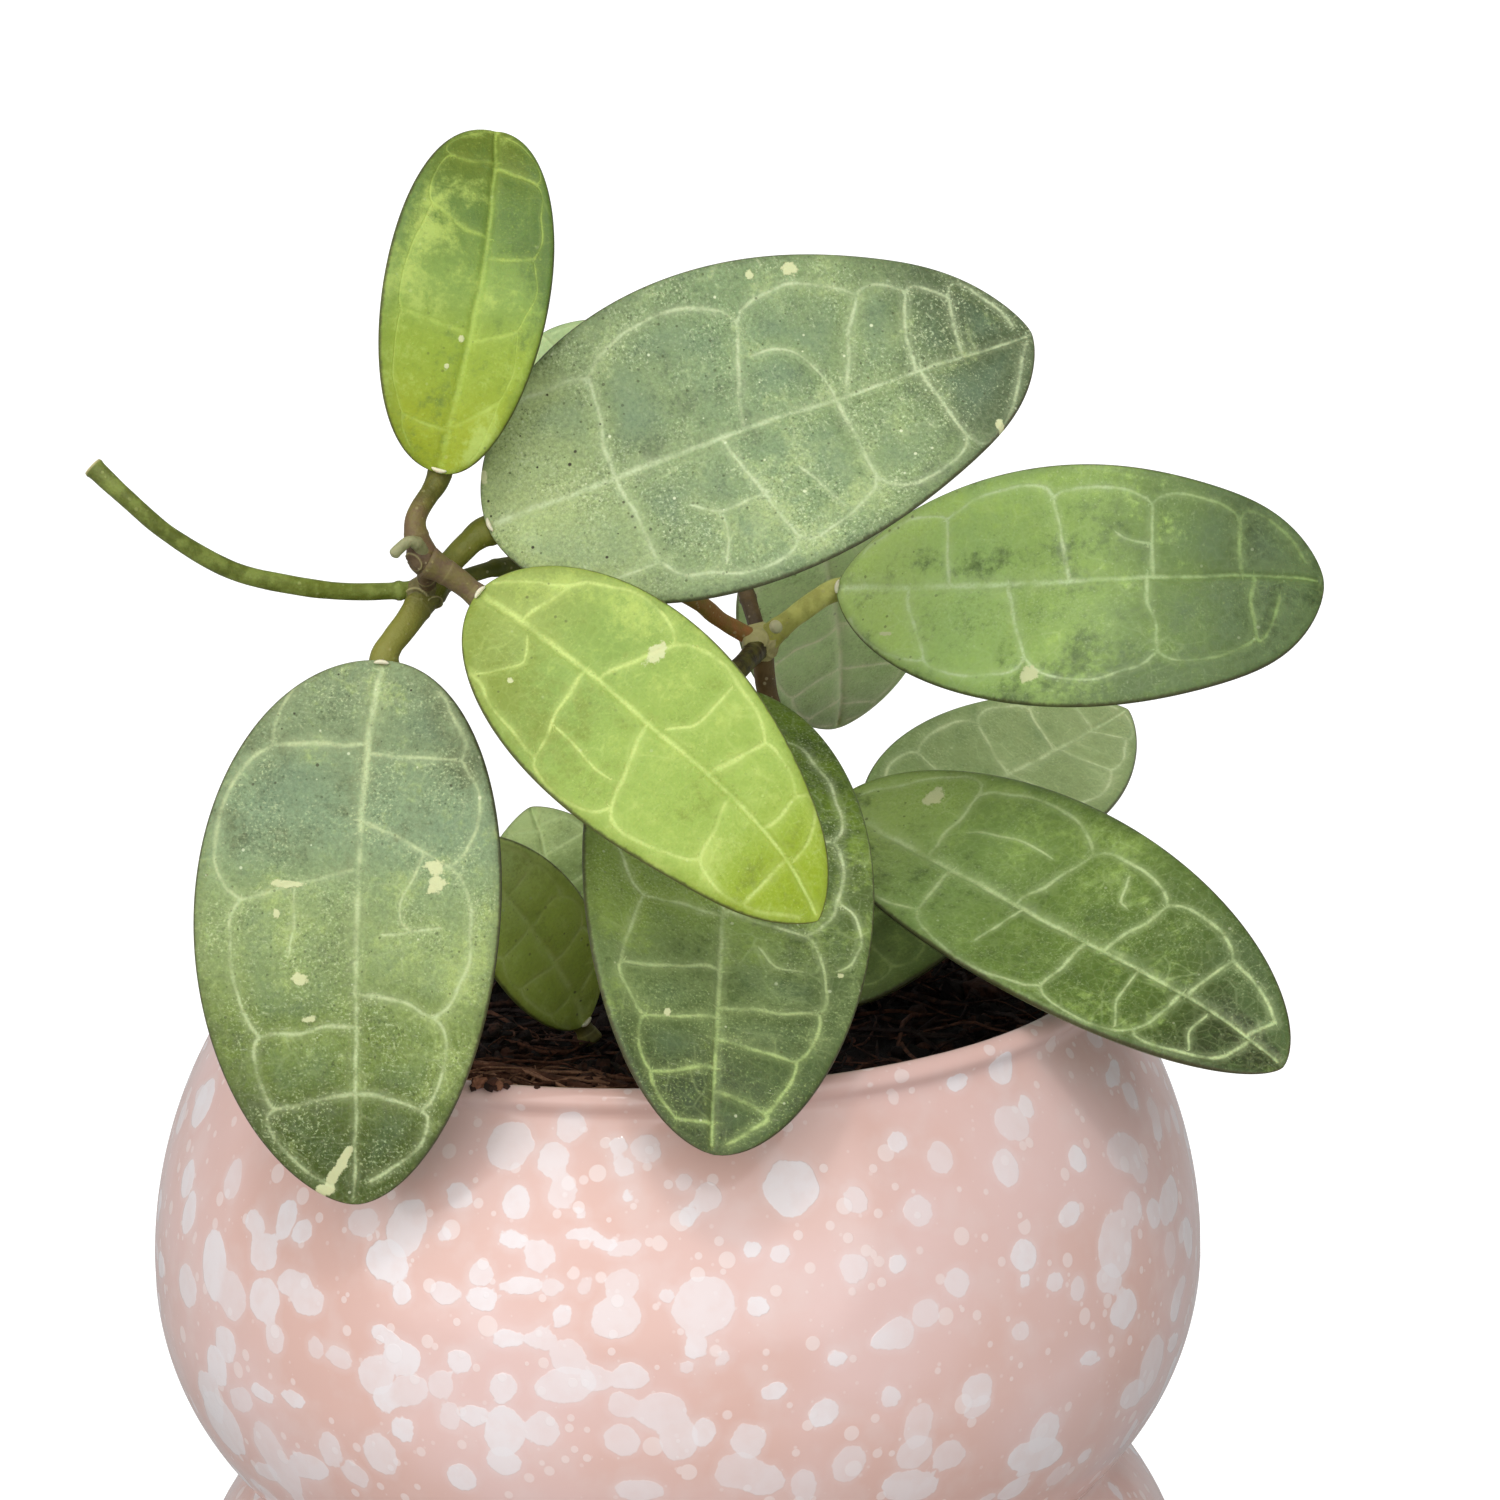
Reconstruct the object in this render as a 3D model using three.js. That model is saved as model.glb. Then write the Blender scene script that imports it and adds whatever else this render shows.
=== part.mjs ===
// A climbing wax vine in a round two-bulb glazed pot. Millimetres, Z up.
// The origin is the middle of the pot's foot, on the surface that the pot stands on.
// X runs to the right and Y away from the side that the plant is shown from.
import * as THREE from 'three';
import { ParametricGeometry } from 'three/addons/geometries/ParametricGeometry.js';

// Pot: radii and heights of the two bulbs, the pinched waist between them and the rim
const BELLY = { radius: 65, height: 78, curveAbove: 56, curveBelow: 35.5 };
const FOOT_BULB = { radius: 63.4, height: 28, curve: 31 };
const WAIST_HEIGHT = 51;
const NECK_HEIGHT = 111.2;
const RIM = { height: 114.5, radius: 56 };
const WALL = 4.5;
const FLOOR = 6;
const FOOT_RADIUS = 45;
const POT_SIDES = 40;
const SOIL_SIDES = 20;
// Heights at which the inner wall has its rings; the medium's side has them too, so they run parallel
const INNER_HEIGHTS = [12, 20, 28, 37, 45, WAIST_HEIGHT, 57, 65, 73, 82, 91, 100];

// Growing medium: its level at the wall and the mound of husk fibre near the front rim
const SOIL_LEVEL = 106;
const SOIL_MOUND = { x: -20, y: -37, spread: 13, height: 4 };
const GAP = 0.3;

// Leaf blades: thick, flat-bodied and rounded at the margin
const BLADE_THICKNESS = 1.4;
const BLADE_FOLD = Math.tan(THREE.MathUtils.degToRad(6));
const BLADE_STATIONS = 15;
const BLADE_SECTION = 12;
const TUBE_SIDES = 8;

// base and tip: where the blade meets its stalk and ends; faces: where its upper side looks.
// width: across the blade; arch and sway: how far the midrib bows upward and sideways.
// root and end: bluntness of the two ends; lop: how much wider the right half is; twist in degrees.
const BLADES = {
  hanging_left: {
    base: [-30.5, -42, 162.3], tip: [-35.5, -57, 103], faces: [-0.17, -0.95, 0.25],
    width: 35.3, arch: 4, sway: 0, root: 0.5, end: 0.59, lop: 0.06, twist: -1, color: 0x5f8157,
  },
  broad_top: {
    base: [-18.4, -36, 176.1], tip: [44.4, -22, 194.5], faces: [0.02, -0.82, 0.57],
    width: 39.5, arch: 4, sway: 0, root: 0.55, end: 0.69, lop: 0.04, twist: 7.5, color: 0x6b8b66,
  },
  lime_front: {
    base: [-19.3, -43.5, 170.1], tip: [17.6, -62, 135.9], faces: [-0.08, -0.85, 0.52],
    width: 25, arch: 5.5, sway: -2, root: 0.57, end: 0.75, lop: 0.09, twist: -3.5, color: 0x95b84e,
  },
  upright: {
    base: [-23.5, -39, 183], tip: [-16.5, -20, 219.3], faces: [0.11, -0.9, 0.42],
    width: 18.8, arch: 4, sway: 1, root: 0.45, end: 0.46, lop: -0.13, twist: -9, color: 0x86ad3c,
  },
  right_side: {
    base: [21.7, 0, 160.7], tip: [79.1, -14, 162.5], faces: [-0.21, -0.82, 0.53],
    width: 30.6, arch: 6.5, sway: 1.8, root: 0.68, end: 0.62, lop: 0.08, twist: 0, color: 0x6f9455,
  },
  over_rim_front: {
    base: [7.5, -9, 151.1], tip: [5.4, -68, 111], faces: [0.28, -0.56, 0.78],
    width: 34.5, arch: 4.5, sway: -0.5, root: 0.5, end: 0.53, lop: 0.05, twist: 0, color: 0x5d7f55,
  },
  over_rim_right: {
    base: [20.6, -4.5, 135], tip: [71, -42, 111.4], faces: [0, -0.53, 0.85],
    width: 30.3, arch: 2, sway: 0, root: 0.49, end: 0.61, lop: -0.1, twist: -7.5, color: 0x5b8546,
  },
  back_right: {
    base: [26.3, 9, 126], tip: [60.8, 50, 133.1], faces: [0.29, -0.4, 0.87],
    width: 26, arch: 0.5, sway: 0.6, root: 0.57, end: 0.8, lop: 0.04, twist: -9, color: 0x7c9a74,
  },
  back_middle: {
    base: [18.6, 14, 168.7], tip: [22.1, 38, 134.4], faces: [0.34, -0.79, -0.52],
    width: 26.7, arch: 1, sway: -1.5, root: 0.42, end: 0.66, lop: 0, twist: 2, color: 0x7b9870,
  },
  back_top: {
    base: [3.7, 12, 169.1], tip: [-14.4, 36, 187.3], faces: [-0.39, -0.72, 0.57],
    width: 25, arch: 1, sway: 0.2, root: 0.47, end: 0.73, lop: 0, twist: 1.5, color: 0x9ab85a,
  },
  low_back: {
    base: [-13.2, 8, 109.8], tip: [-17.6, 26, 128], faces: [-0.08, -0.74, 0.67],
    width: 21, arch: 1, sway: 0.8, root: 0.42, end: 0.75, lop: 0, twist: 0, color: 0x8aa77c,
  },
  low_left: {
    base: [-10.3, -10, 109.6], tip: [-24.3, -24, 136.8], faces: [0.5, -0.83, 0.1],
    width: 15, arch: 1, sway: 0.8, root: 0.6, end: 0.68, lop: 0, twist: 10, color: 0x5e7f35,
  },
  low_right: {
    base: [14.8, 6, 110], tip: [40.3, 14, 117.2], faces: [-0.18, -0.55, 0.81],
    width: 26.5, arch: 5, sway: -0.2, root: 0.42, end: 0.72, lop: 0, twist: 3.5, color: 0x5a8052,
  },
};

// Swollen joints of the vine, from which stalks and stems leave
const JOINTS = {
  low: { at: [19, 0.5, 132.3], radius: 2.2 },
  middle: { at: [12.4, 0.5, 154], radius: 2.4 },
  back: { at: [8, 8, 168], radius: 1.8 },
  front: { at: [-25.3, -35, 168.9], radius: 2.5 },
  shoot: { at: [-25.3, -43, 173.9], radius: 2.1 },
};

// Stems between the joints; a route's free ends are points of their own
const STEMS = {
  main_stem_lower: { radius: 1.25, to: 'low', route: [[12, -2, 106.7], [13.6, -1.2, 114.4], [16.6, -0.6, 123]] },
  main_stem_upper: { radius: 1.25, from: 'low', to: 'middle', route: [[15.6, 1.6, 140], [13.1, 1.4, 147]] },
  long_vine: {
    radius: 1,
    from: 'middle',
    to: 'front',
    route: [[7.6, -3, 157.7], [4.6, -6, 160.8], [-1.8, -13, 165.3], [-10.5, -22, 169], [-17.4, -29.4, 170.2]],
  },
  back_branch: { radius: 1, from: 'middle', to: 'back', route: [[10.9, 3.6, 159], [9.4, 6.6, 163.4]] },
  side_shoot: { radius: 1, from: 'front', to: 'shoot', route: [] },
  runner: {
    radius: 1.05,
    from: 'front',
    route: [[-34.1, -38, 169.5], [-40.6, -41, 171.1], [-47, -43, 173.4], [-53.3, -45, 177.9], [-57.9, -46, 182.5],
      [-61.5, -45, 185.9]],
  },
  growing_tip: { radius: 0.7, from: 'shoot', route: [[-27.6, -45.2, 176.4], [-28.6, -46, 175.4]] },
};

// Leaf stalks: the joint or the point of the medium that each starts from, and the way to its blade
const STALKS = {
  hanging_left: { radius: 1.5, from: 'front', route: [[-27.6, -38.2, 166]] },
  broad_top: { radius: 1.55, from: 'front', route: [[-21.9, -36.7, 172.3]] },
  lime_front: { radius: 1.45, from: 'shoot', route: [[-22.3, -42.5, 171.9]] },
  upright: { radius: 1.3, from: 'shoot', route: [[-26.1, -42, 178.2]] },
  right_side: { radius: 1.35, from: 'middle', route: [[17.2, 0.1, 157.8]] },
  over_rim_front: { radius: 1.25, from: 'middle', route: [[9.8, -5, 152.3]] },
  over_rim_right: { radius: 1.25, from: 'low', route: [] },
  back_right: { radius: 1.25, from: 'low', route: [[23, 5.2, 129.6]] },
  back_middle: { radius: 1.2, from: 'back', route: [[13, 11, 170.2]] },
  back_top: { radius: 1.1, from: 'back', route: [] },
  low_back: { radius: 1.1, route: [[-13, 5.9, 106.9]] },
  low_left: { radius: 1.1, route: [[-9.5, -8.7, 107.3]] },
  low_right: { radius: 1.1, route: [[12.1, 6.2, 107.2]] },
};

const AXIL_BUD = { at: [14.2, -2.6, 156.6], radius: 0.75 };

// Bark chips and husk fibre on top of the medium: middle, half sizes and turn in degrees
const CHIPS = [
  { x: 30, y: -30, half: [4.2, 2.6, 1.2], turn: 20 },
  { x: -39, y: 2, half: [4.6, 3, 1.4], turn: 75 },
  { x: -30, y: 29, half: [5, 3.1, 1.3], turn: -15 },
  { x: -4, y: -44, half: [3.6, 2.2, 1], turn: 130 },
  { x: 40, y: 10, half: [3.4, 2.6, 1.1], turn: 50 },
];
const FIBRES = [
  { radius: 0.8, from: [-34, -32], to: [-16, -45.4] },
  { radius: 0.7, from: [-30, -26], to: [-8, -38] },
];

/** Outer radius of the pot's wall at a height: two bulbs that meet in a pinched waist, then the neck. */
function wallRadius(z) {
  const bulb = (radius, curve, rise) => radius - curve + Math.sqrt(curve * curve - rise * rise);
  if (z < WAIST_HEIGHT) return bulb(FOOT_BULB.radius, FOOT_BULB.curve, z - FOOT_BULB.height);
  if (z < BELLY.height) return bulb(BELLY.radius, BELLY.curveBelow, z - BELLY.height);
  return bulb(BELLY.radius, BELLY.curveAbove, z - BELLY.height);
}

/** Height of the medium's surface over a point: nearly level, with low ripples and the fibre mound. */
function soilHeight(x, y) {
  const mound = ((x - SOIL_MOUND.x) ** 2 + (y - SOIL_MOUND.y) ** 2) / (2 * SOIL_MOUND.spread ** 2);
  const ripple = 0.35 * Math.sin(0.21 * x + 0.5) * Math.cos(0.17 * y);
  return SOIL_LEVEL + ripple + SOIL_MOUND.height * Math.exp(-mound);
}

const heights = (from, to, steps) => Array.from({ length: steps + 1 }, (_, i) => from + ((to - from) * i) / steps);

const lathe = (profile) => new THREE.LatheGeometry(profile.map(([r, z]) => new THREE.Vector2(r, z)), POT_SIDES);
const outerWall = (z) => [wallRadius(z), z];
const innerWall = (z) => [wallRadius(z) - WALL, z];

/** Where the two bulbs meet: the level ring through the wall at the waist, half a gap up or down. */
function waistRing(side) {
  const outer = wallRadius(WAIST_HEIGHT);
  const z = WAIST_HEIGHT + (side * GAP) / 2;
  return { outer: [outer, z], inner: [outer - WALL, z] };
}

/** Lower bulb: a cup with a thick floor and a flat foot, cut level at the waist. */
function lowerBulbGeometry() {
  const waist = waistRing(-1);
  const outside = heights(1, 49, 11).map(outerWall);
  const inside = INNER_HEIGHTS.filter((z) => z < WAIST_HEIGHT).reverse().map(innerWall);
  return lathe([[0, 0], [FOOT_RADIUS, 0], ...outside, waist.outer, waist.inner, ...inside, [38, FLOOR], [0, FLOOR]]);
}

/** Upper bulb: an open ring of wall from the waist to the rounded lip. */
function upperBulbGeometry() {
  const waist = waistRing(1);
  const outside = heights(53, NECK_HEIGHT, 12).map(outerWall);
  const lip = [[RIM.radius - 0.3, NECK_HEIGHT + 1.3], [RIM.radius, RIM.height - 1], [RIM.radius - 1, RIM.height],
    [RIM.radius - 2.6, RIM.height - 0.2], [RIM.radius - WALL, RIM.height - 1.6]];
  const inside = [...INNER_HEIGHTS.filter((z) => z > WAIST_HEIGHT), 108].reverse().map(innerWall);
  return lathe([waist.outer, ...outside, ...lip, ...inside, waist.inner, waist.outer]);
}

/** The medium fills the pot: the inner wall less a gap, closed by the surface above and a disc below. */
function soilGeometry() {
  const side = INNER_HEIGHTS.map((z) => [wallRadius(z) - WALL - 2 * GAP, z]);
  const rings = [[0, FLOOR + GAP], [37, FLOOR + GAP], ...side];
  const brim = wallRadius(SOIL_LEVEL + SOIL_MOUND.height) - WALL - 2 * GAP;
  const top = [1, 0.8, 0.6, 0.4, 0.2, 0].map((part) => brim * part);
  const rows = rings.length + top.length;
  const surface = (u, v, target) => {
    const row = Math.min(Math.round(v * (rows - 1)), rows - 1);
    const angle = 2 * Math.PI * u;
    const onTop = row >= rings.length;
    const radius = onTop ? top[row - rings.length] : rings[row][0];
    const x = radius * Math.cos(angle);
    const y = radius * Math.sin(angle);
    target.set(x, y, onTop ? soilHeight(x, y) : rings[row][1]);
  };
  return new ParametricGeometry(surface, SOIL_SIDES, rows - 1);
}

const vector = (point) => new THREE.Vector3(...point);

/** The frame of a blade: its chord from base to tip, its upper side and the direction across it. */
function bladeFrame(blade) {
  const base = vector(blade.base);
  const chord = vector(blade.tip).sub(base);
  const along = chord.clone().normalize();
  const up = vector(blade.faces).projectOnPlane(along).normalize();
  const across = along.clone().cross(up);
  return { base, chord, up, across };
}

/** Direction in which the midrib leaves the blade's base. */
function rootDirection(blade) {
  const { chord, up, across } = bladeFrame(blade);
  return chord.clone().addScaledVector(up, 4 * blade.arch).addScaledVector(across, 4 * blade.sway).normalize();
}

/**
 * A closed blade. Along it the midrib is the chord plus a parabola; its half width is
 * s^root times (1-s)^end, scaled to the full width; each section is a flat rounded slab.
 */
function bladeGeometry(blade) {
  const { base, chord, up, across } = bladeFrame(blade);
  const widest = blade.root / (blade.root + blade.end);
  const surface = (u, v, target) => {
    const s = (1 - Math.cos(Math.PI * v)) / 2;
    const angle = -2 * Math.PI * u;
    const side = Math.cos(angle);
    const bow = 4 * s * (1 - s);
    const slope = 4 * (1 - 2 * s);
    const tangent = chord.clone().addScaledVector(up, blade.arch * slope).addScaledVector(across, blade.sway * slope);
    tangent.normalize();
    const turn = THREE.MathUtils.degToRad(blade.twist) * (s - 0.5);
    const edgeward = across.clone().multiplyScalar(Math.cos(turn)).addScaledVector(up, Math.sin(turn));
    edgeward.projectOnPlane(tangent).normalize();
    const upward = edgeward.clone().cross(tangent);
    const outline = (s / widest) ** blade.root * ((1 - s) / (1 - widest)) ** blade.end;
    const half = (blade.width / 2) * outline;
    const slab = Math.sign(Math.sin(angle)) * Math.sqrt(Math.abs(Math.sin(angle)));
    const lift = half * BLADE_FOLD * Math.abs(side) ** 1.6;
    const thick = (BLADE_THICKNESS / 2) * slab * Math.min(1, outline * 1.6);
    target.copy(base).addScaledVector(chord, s);
    target.addScaledVector(up, blade.arch * bow).addScaledVector(across, blade.sway * bow);
    target.addScaledVector(edgeward, side * half * (1 + blade.lop * side)).addScaledVector(upward, lift + thick);
  };
  return new ParametricGeometry(surface, BLADE_SECTION, BLADE_STATIONS);
}

/** The point on the way from a joint's middle to the next point, just clear of the joint. */
function leave(joint, next) {
  const middle = vector(JOINTS[joint].at);
  return middle.clone().lerp(next, (JOINTS[joint].radius + GAP) / middle.distanceTo(next));
}

/** A round stem along a smooth route: a circle carried along a spline through the points. */
function tubeGeometry(points, radius, steps) {
  const section = new THREE.Shape().absarc(0, 0, radius, 0, 2 * Math.PI, false);
  const route = new THREE.CatmullRomCurve3(points, false, 'centripetal');
  return new THREE.ExtrudeGeometry(section, { steps, curveSegments: TUBE_SIDES, extrudePath: route });
}

function stemGeometry(stem) {
  const points = stem.route.map(vector);
  const first = points[0] ?? vector(JOINTS[stem.to].at);
  const last = points[points.length - 1] ?? vector(JOINTS[stem.from].at);
  if (stem.from) points.unshift(leave(stem.from, first));
  if (stem.to) points.push(leave(stem.to, last));
  return tubeGeometry(points, stem.radius, 2 + 2 * stem.route.length);
}

function stalkGeometry(stalk, blade) {
  const root = rootDirection(blade);
  const end = vector(blade.base).addScaledVector(root, -GAP);
  const beforeEnd = end.clone().addScaledVector(root, -1);
  const points = [...stalk.route.map(vector), beforeEnd, end];
  if (stalk.from) points.unshift(leave(stalk.from, points[0]));
  return tubeGeometry(points, stalk.radius, 3 + 2 * stalk.route.length);
}

/** A chip of bark: a low block with its edges broken, seated on the medium. */
function chipGeometry([length, width, height]) {
  const outline = new THREE.Shape([[-1, -0.5], [-0.6, -1], [0.7, -0.9], [1, -0.2], [0.8, 0.8], [-0.3, 1], [-0.9, 0.6]]
    .map(([x, y]) => new THREE.Vector2(x * length, y * width)));
  return new THREE.ExtrudeGeometry(outline, {
    depth: height, steps: 1, bevelEnabled: true, bevelSegments: 1, bevelSize: 0.4, bevelThickness: 0.4,
  });
}

/** A strand of husk fibre that follows the surface of the medium between two places. */
function fibreGeometry({ radius, from, to }) {
  const points = [0, 0.33, 0.67, 1].map((part) => {
    const x = from[0] + (to[0] - from[0]) * part;
    const y = from[1] + (to[1] - from[1]) * part;
    return new THREE.Vector3(x, y, soilHeight(x, y) + radius + 2 * GAP);
  });
  return tubeGeometry(points, radius, 8);
}

const group = new THREE.Group();

function add(name, geometry, { color, roughness }) {
  const mesh = new THREE.Mesh(geometry, new THREE.MeshStandardMaterial({ color, roughness, metalness: 0 }));
  mesh.name = name;
  group.add(mesh);
  return mesh;
}

const GLAZE = { color: 0xe4c3b8, roughness: 0.25 };
const MEDIUM = { color: 0x2c1d15, roughness: 0.95 };
const BARK = { color: 0x4a3021, roughness: 0.9 };
const OLIVE = { color: 0x6d6f33, roughness: 0.55 };
const BROWN = { color: 0x59402f, roughness: 0.6 };

// One fired piece, made as two bulbs that meet level at the waist
add('pot_lower_bulb', lowerBulbGeometry(), GLAZE).rotation.x = Math.PI / 2;
add('pot_upper_bulb', upperBulbGeometry(), GLAZE).rotation.x = Math.PI / 2;
add('soil', soilGeometry(), MEDIUM);

for (const [name, blade] of Object.entries(BLADES)) {
  add(`blade_${name}`, bladeGeometry(blade), { color: blade.color, roughness: 0.45 });
  add(`stalk_${name}`, stalkGeometry(STALKS[name], blade), OLIVE);
}

for (const [name, stem] of Object.entries(STEMS)) add(name, stemGeometry(stem), name === 'runner' ? OLIVE : BROWN);

for (const [name, joint] of Object.entries(JOINTS)) {
  add(`joint_${name}`, new THREE.SphereGeometry(joint.radius, 10, 7), BROWN).position.set(...joint.at);
}

add('axil_bud', new THREE.SphereGeometry(AXIL_BUD.radius, 8, 5), OLIVE).position.set(...AXIL_BUD.at);

CHIPS.forEach((chip, index) => {
  const mesh = add(`bark_chip_${index + 1}`, chipGeometry(chip.half), BARK);
  mesh.rotation.z = THREE.MathUtils.degToRad(chip.turn);
  mesh.position.set(chip.x, chip.y, soilHeight(chip.x, chip.y) + 0.4 + 2 * GAP);
});

FIBRES.forEach((fibre, index) => add(`husk_fibre_${index + 1}`, fibreGeometry(fibre), BARK));

export default group;
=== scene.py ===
import bpy
import numpy as np
from mathutils import Matrix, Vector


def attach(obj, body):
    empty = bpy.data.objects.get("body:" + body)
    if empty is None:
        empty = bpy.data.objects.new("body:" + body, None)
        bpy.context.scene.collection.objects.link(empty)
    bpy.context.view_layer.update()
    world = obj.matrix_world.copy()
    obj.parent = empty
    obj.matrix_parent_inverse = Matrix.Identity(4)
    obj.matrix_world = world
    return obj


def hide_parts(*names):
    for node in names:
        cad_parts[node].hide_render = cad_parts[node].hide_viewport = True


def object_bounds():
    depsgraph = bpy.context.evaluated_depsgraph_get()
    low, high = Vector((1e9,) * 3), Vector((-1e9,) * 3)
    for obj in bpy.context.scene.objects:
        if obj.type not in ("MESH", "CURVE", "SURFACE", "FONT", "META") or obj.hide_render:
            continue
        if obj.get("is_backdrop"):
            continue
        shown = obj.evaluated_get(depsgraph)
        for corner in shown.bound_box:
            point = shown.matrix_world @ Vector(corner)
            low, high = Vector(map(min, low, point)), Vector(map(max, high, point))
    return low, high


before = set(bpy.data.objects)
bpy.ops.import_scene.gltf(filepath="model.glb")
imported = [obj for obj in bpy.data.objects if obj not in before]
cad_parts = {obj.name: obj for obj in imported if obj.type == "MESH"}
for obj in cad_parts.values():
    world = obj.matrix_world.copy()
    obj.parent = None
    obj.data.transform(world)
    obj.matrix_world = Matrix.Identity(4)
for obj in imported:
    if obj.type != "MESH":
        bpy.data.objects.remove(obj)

cad_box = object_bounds()

# The pot
# One slip-cast ceramic body of two bulbs with a pinched waist and a rounded lip, glazed pale pink all
# over, with white glaze flicked on before firing. It stands on its flat foot and holds the medium.

MM = 0.001
POT_WALL = 4.5
POT_COLUMNS = 480
FOOT_BULB = dict(radius=63.4, height=28, curve=31)
BELLY = dict(radius=65, height=78, below=35.5, above=56)
WAIST = 1.5
FOOT = [(20, 0), (38, 0), (43, 0.02), (44.6, 0.25), (45.7, 0.85)]
LIP = [(54.35, 111.6), (54.6, 112.2), (54.85, 112.75), (54.85, 113.3), (54.5, 113.9), (53.9, 114.32), (53.2, 114.48),
       (52.4, 114.2), (51.4, 113.3), (50.4, 112.0)]
FLOOR_INSIDE = [(49.2, 7.4), (46.5, 6.2), (40, 6), (20, 6)]
FLOOR_THICK = FLOOR_INSIDE[-1][1]


def bulb(z, radius, height, curve):
    """A bulb's radius at height z. Its side is a circle's arc: its widest radius, less the curve, plus the root of
    curve squared less height squared."""
    return radius - curve + np.sqrt(np.maximum(curve ** 2 - (z - height) ** 2, 0))


def pot_radius(z):
    """Outer radius at height z. Where the bulbs meet, half of a + b + sqrt((a - b)^2 + waist^2) rounds the groove
    between them."""
    foot = bulb(z, **FOOT_BULB)
    curve = np.where(z < BELLY["height"], BELLY["below"], BELLY["above"])
    belly = bulb(z, BELLY["radius"], BELLY["height"], curve)
    return np.minimum((foot + belly + np.sqrt((foot - belly) ** 2 + WAIST ** 2)) / 2, BELLY["radius"] - 0.02)


def smooth_path(points, count):
    """Catmull-Rom curve through the points, at count places evenly spaced in parameter: in each span half of
    2b + (c - a)t + (2a - 5b + 4c - d)t^2 + (3b - a - 3c + d)t^3, with the ends carried on straight."""
    p = np.array(points, float)
    p = np.vstack([2 * p[0] - p[1], p, 2 * p[-1] - p[-2]])
    t = np.linspace(0, len(p) - 3 - 1e-9, count)
    i = t.astype(int)
    t = (t - i)[:, None]
    a, b, c, d = p[i], p[i + 1], p[i + 2], p[i + 3]
    return (2 * b + (c - a) * t + (2 * a - 5 * b + 4 * c - d) * t ** 2 + (3 * b - a - 3 * c + d) * t ** 3) / 2


def way_along(points):
    """The distance along a line at each of its points: the running sum of its steps."""
    return np.concatenate([[0], np.cumsum(np.linalg.norm(np.diff(points, axis=0), axis=1))])


def round_way(columns):
    """Even angles once round."""
    return np.arange(columns) * 2 * np.pi / columns


def turned(radii, heights, columns):
    """Rings about the pot's axis, each starting at the front: (r sin v, -r cos v, z)."""
    v = round_way(columns)
    radii, heights = np.asarray(radii)[:, None], np.asarray(heights)[:, None]
    return np.stack([radii * np.sin(v), -radii * np.cos(v), heights + 0 * v], -1)


def tube_faces(rings, columns):
    """Faces of a closed tube numbered as one end point, then the rings, then the other end point: a fan, a band
    of quads between each ring and the next, and a fan."""
    j = np.arange(columns)
    k = (j + 1) % columns
    start = 1 + np.arange(rings - 1)[:, None] * columns
    bands = np.stack([start + j, start + k, start + columns + k, start + columns + j], -1).reshape(-1, 4)
    last = 1 + (rings - 1) * columns
    return [bands, np.stack([0 * j, k + 1, j + 1], -1), np.stack([0 * j + last + columns, last + j, last + k], -1)]


def add_piece(name, points, faces, material, slot, *nodes, **fields):
    """A smooth-shaded piece from points in mm and faces of four and of three corners, turned outward if the sum
    of a . (b x c) over its triangles is negative. Fields are values carried by its points."""
    points = np.asarray(points, float)
    thirds = np.concatenate([f[:, (0, 1, 2)] for f in faces] + [f[:, (0, 2, 3)] for f in faces if f.shape[1] == 4])
    a, b, c = (points[thirds[:, i]] for i in range(3))
    if np.sum(a * np.cross(b, c)) < 0:
        faces = [f[:, ::-1] for f in faces]
    sizes = np.concatenate([np.full(len(f), f.shape[1]) for f in faces])
    corners = np.concatenate([f.ravel() for f in faces])
    mesh = bpy.data.meshes.new(name)
    mesh.vertices.add(len(points))
    mesh.vertices.foreach_set("co", (points * MM).ravel())
    mesh.loops.add(len(corners))
    mesh.loops.foreach_set("vertex_index", corners)
    mesh.polygons.add(len(sizes))
    mesh.polygons.foreach_set("loop_start", np.cumsum(sizes) - sizes)
    mesh.polygons.foreach_set("use_smooth", np.ones(len(sizes), bool))
    mesh.update(calc_edges=True)
    for label, values in fields.items():
        values = np.asarray(values, float)
        kind, key = ("FLOAT", "value") if values.ndim == 1 else ("FLOAT_VECTOR", "vector")
        mesh.attributes.new(label, kind, "POINT").data.foreach_set(key, values.ravel())
    mesh.materials.append(material)
    piece = bpy.data.objects.new(name, mesh)
    bpy.context.scene.collection.objects.link(piece)
    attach(piece, "root")
    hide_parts(*nodes)


def colour(code):
    """Linear colour of an sRGB code: each share c becomes ((c + 0.055) / 1.055)^2.4."""
    share = np.array([int(code[i:i + 2], 16) for i in (1, 3, 5)]) / 255
    return (*(((share + 0.055) / 1.055) ** 2.4).tolist(), 1.0)


class Tone:
    """A value or colour that changes over a surface: an output of a node. Sums of tones are Math nodes, and
    tone[key] is another output of its node."""

    def __init__(self, socket):
        self.socket = socket

    def __getitem__(self, key):
        return Tone(self.socket.node.outputs[key])

    def __add__(self, other):
        return calc("ADD", self, other)

    def __sub__(self, other):
        return calc("SUBTRACT", self, other)

    def __mul__(self, other):
        return calc("MULTIPLY", self, other)


def put(kind, sockets=None, **settings):
    """A node of that kind in the tree in hand, each socket given a value, a colour code or a tone."""
    node = tree.nodes.new("ShaderNode" + kind)
    for key, value in settings.items():
        setattr(node, key, value)
    for key, value in (sockets or {}).items():
        if isinstance(value, Tone):
            tree.links.new(value.socket, node.inputs[key])
        else:
            node.inputs[key].default_value = colour(value) if isinstance(value, str) else value
    return Tone(node.outputs[0])


def calc(operation, a, b=0.0):
    """One sum of two values."""
    return put("Math", {0: a, 1: b}, operation=operation)


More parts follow.
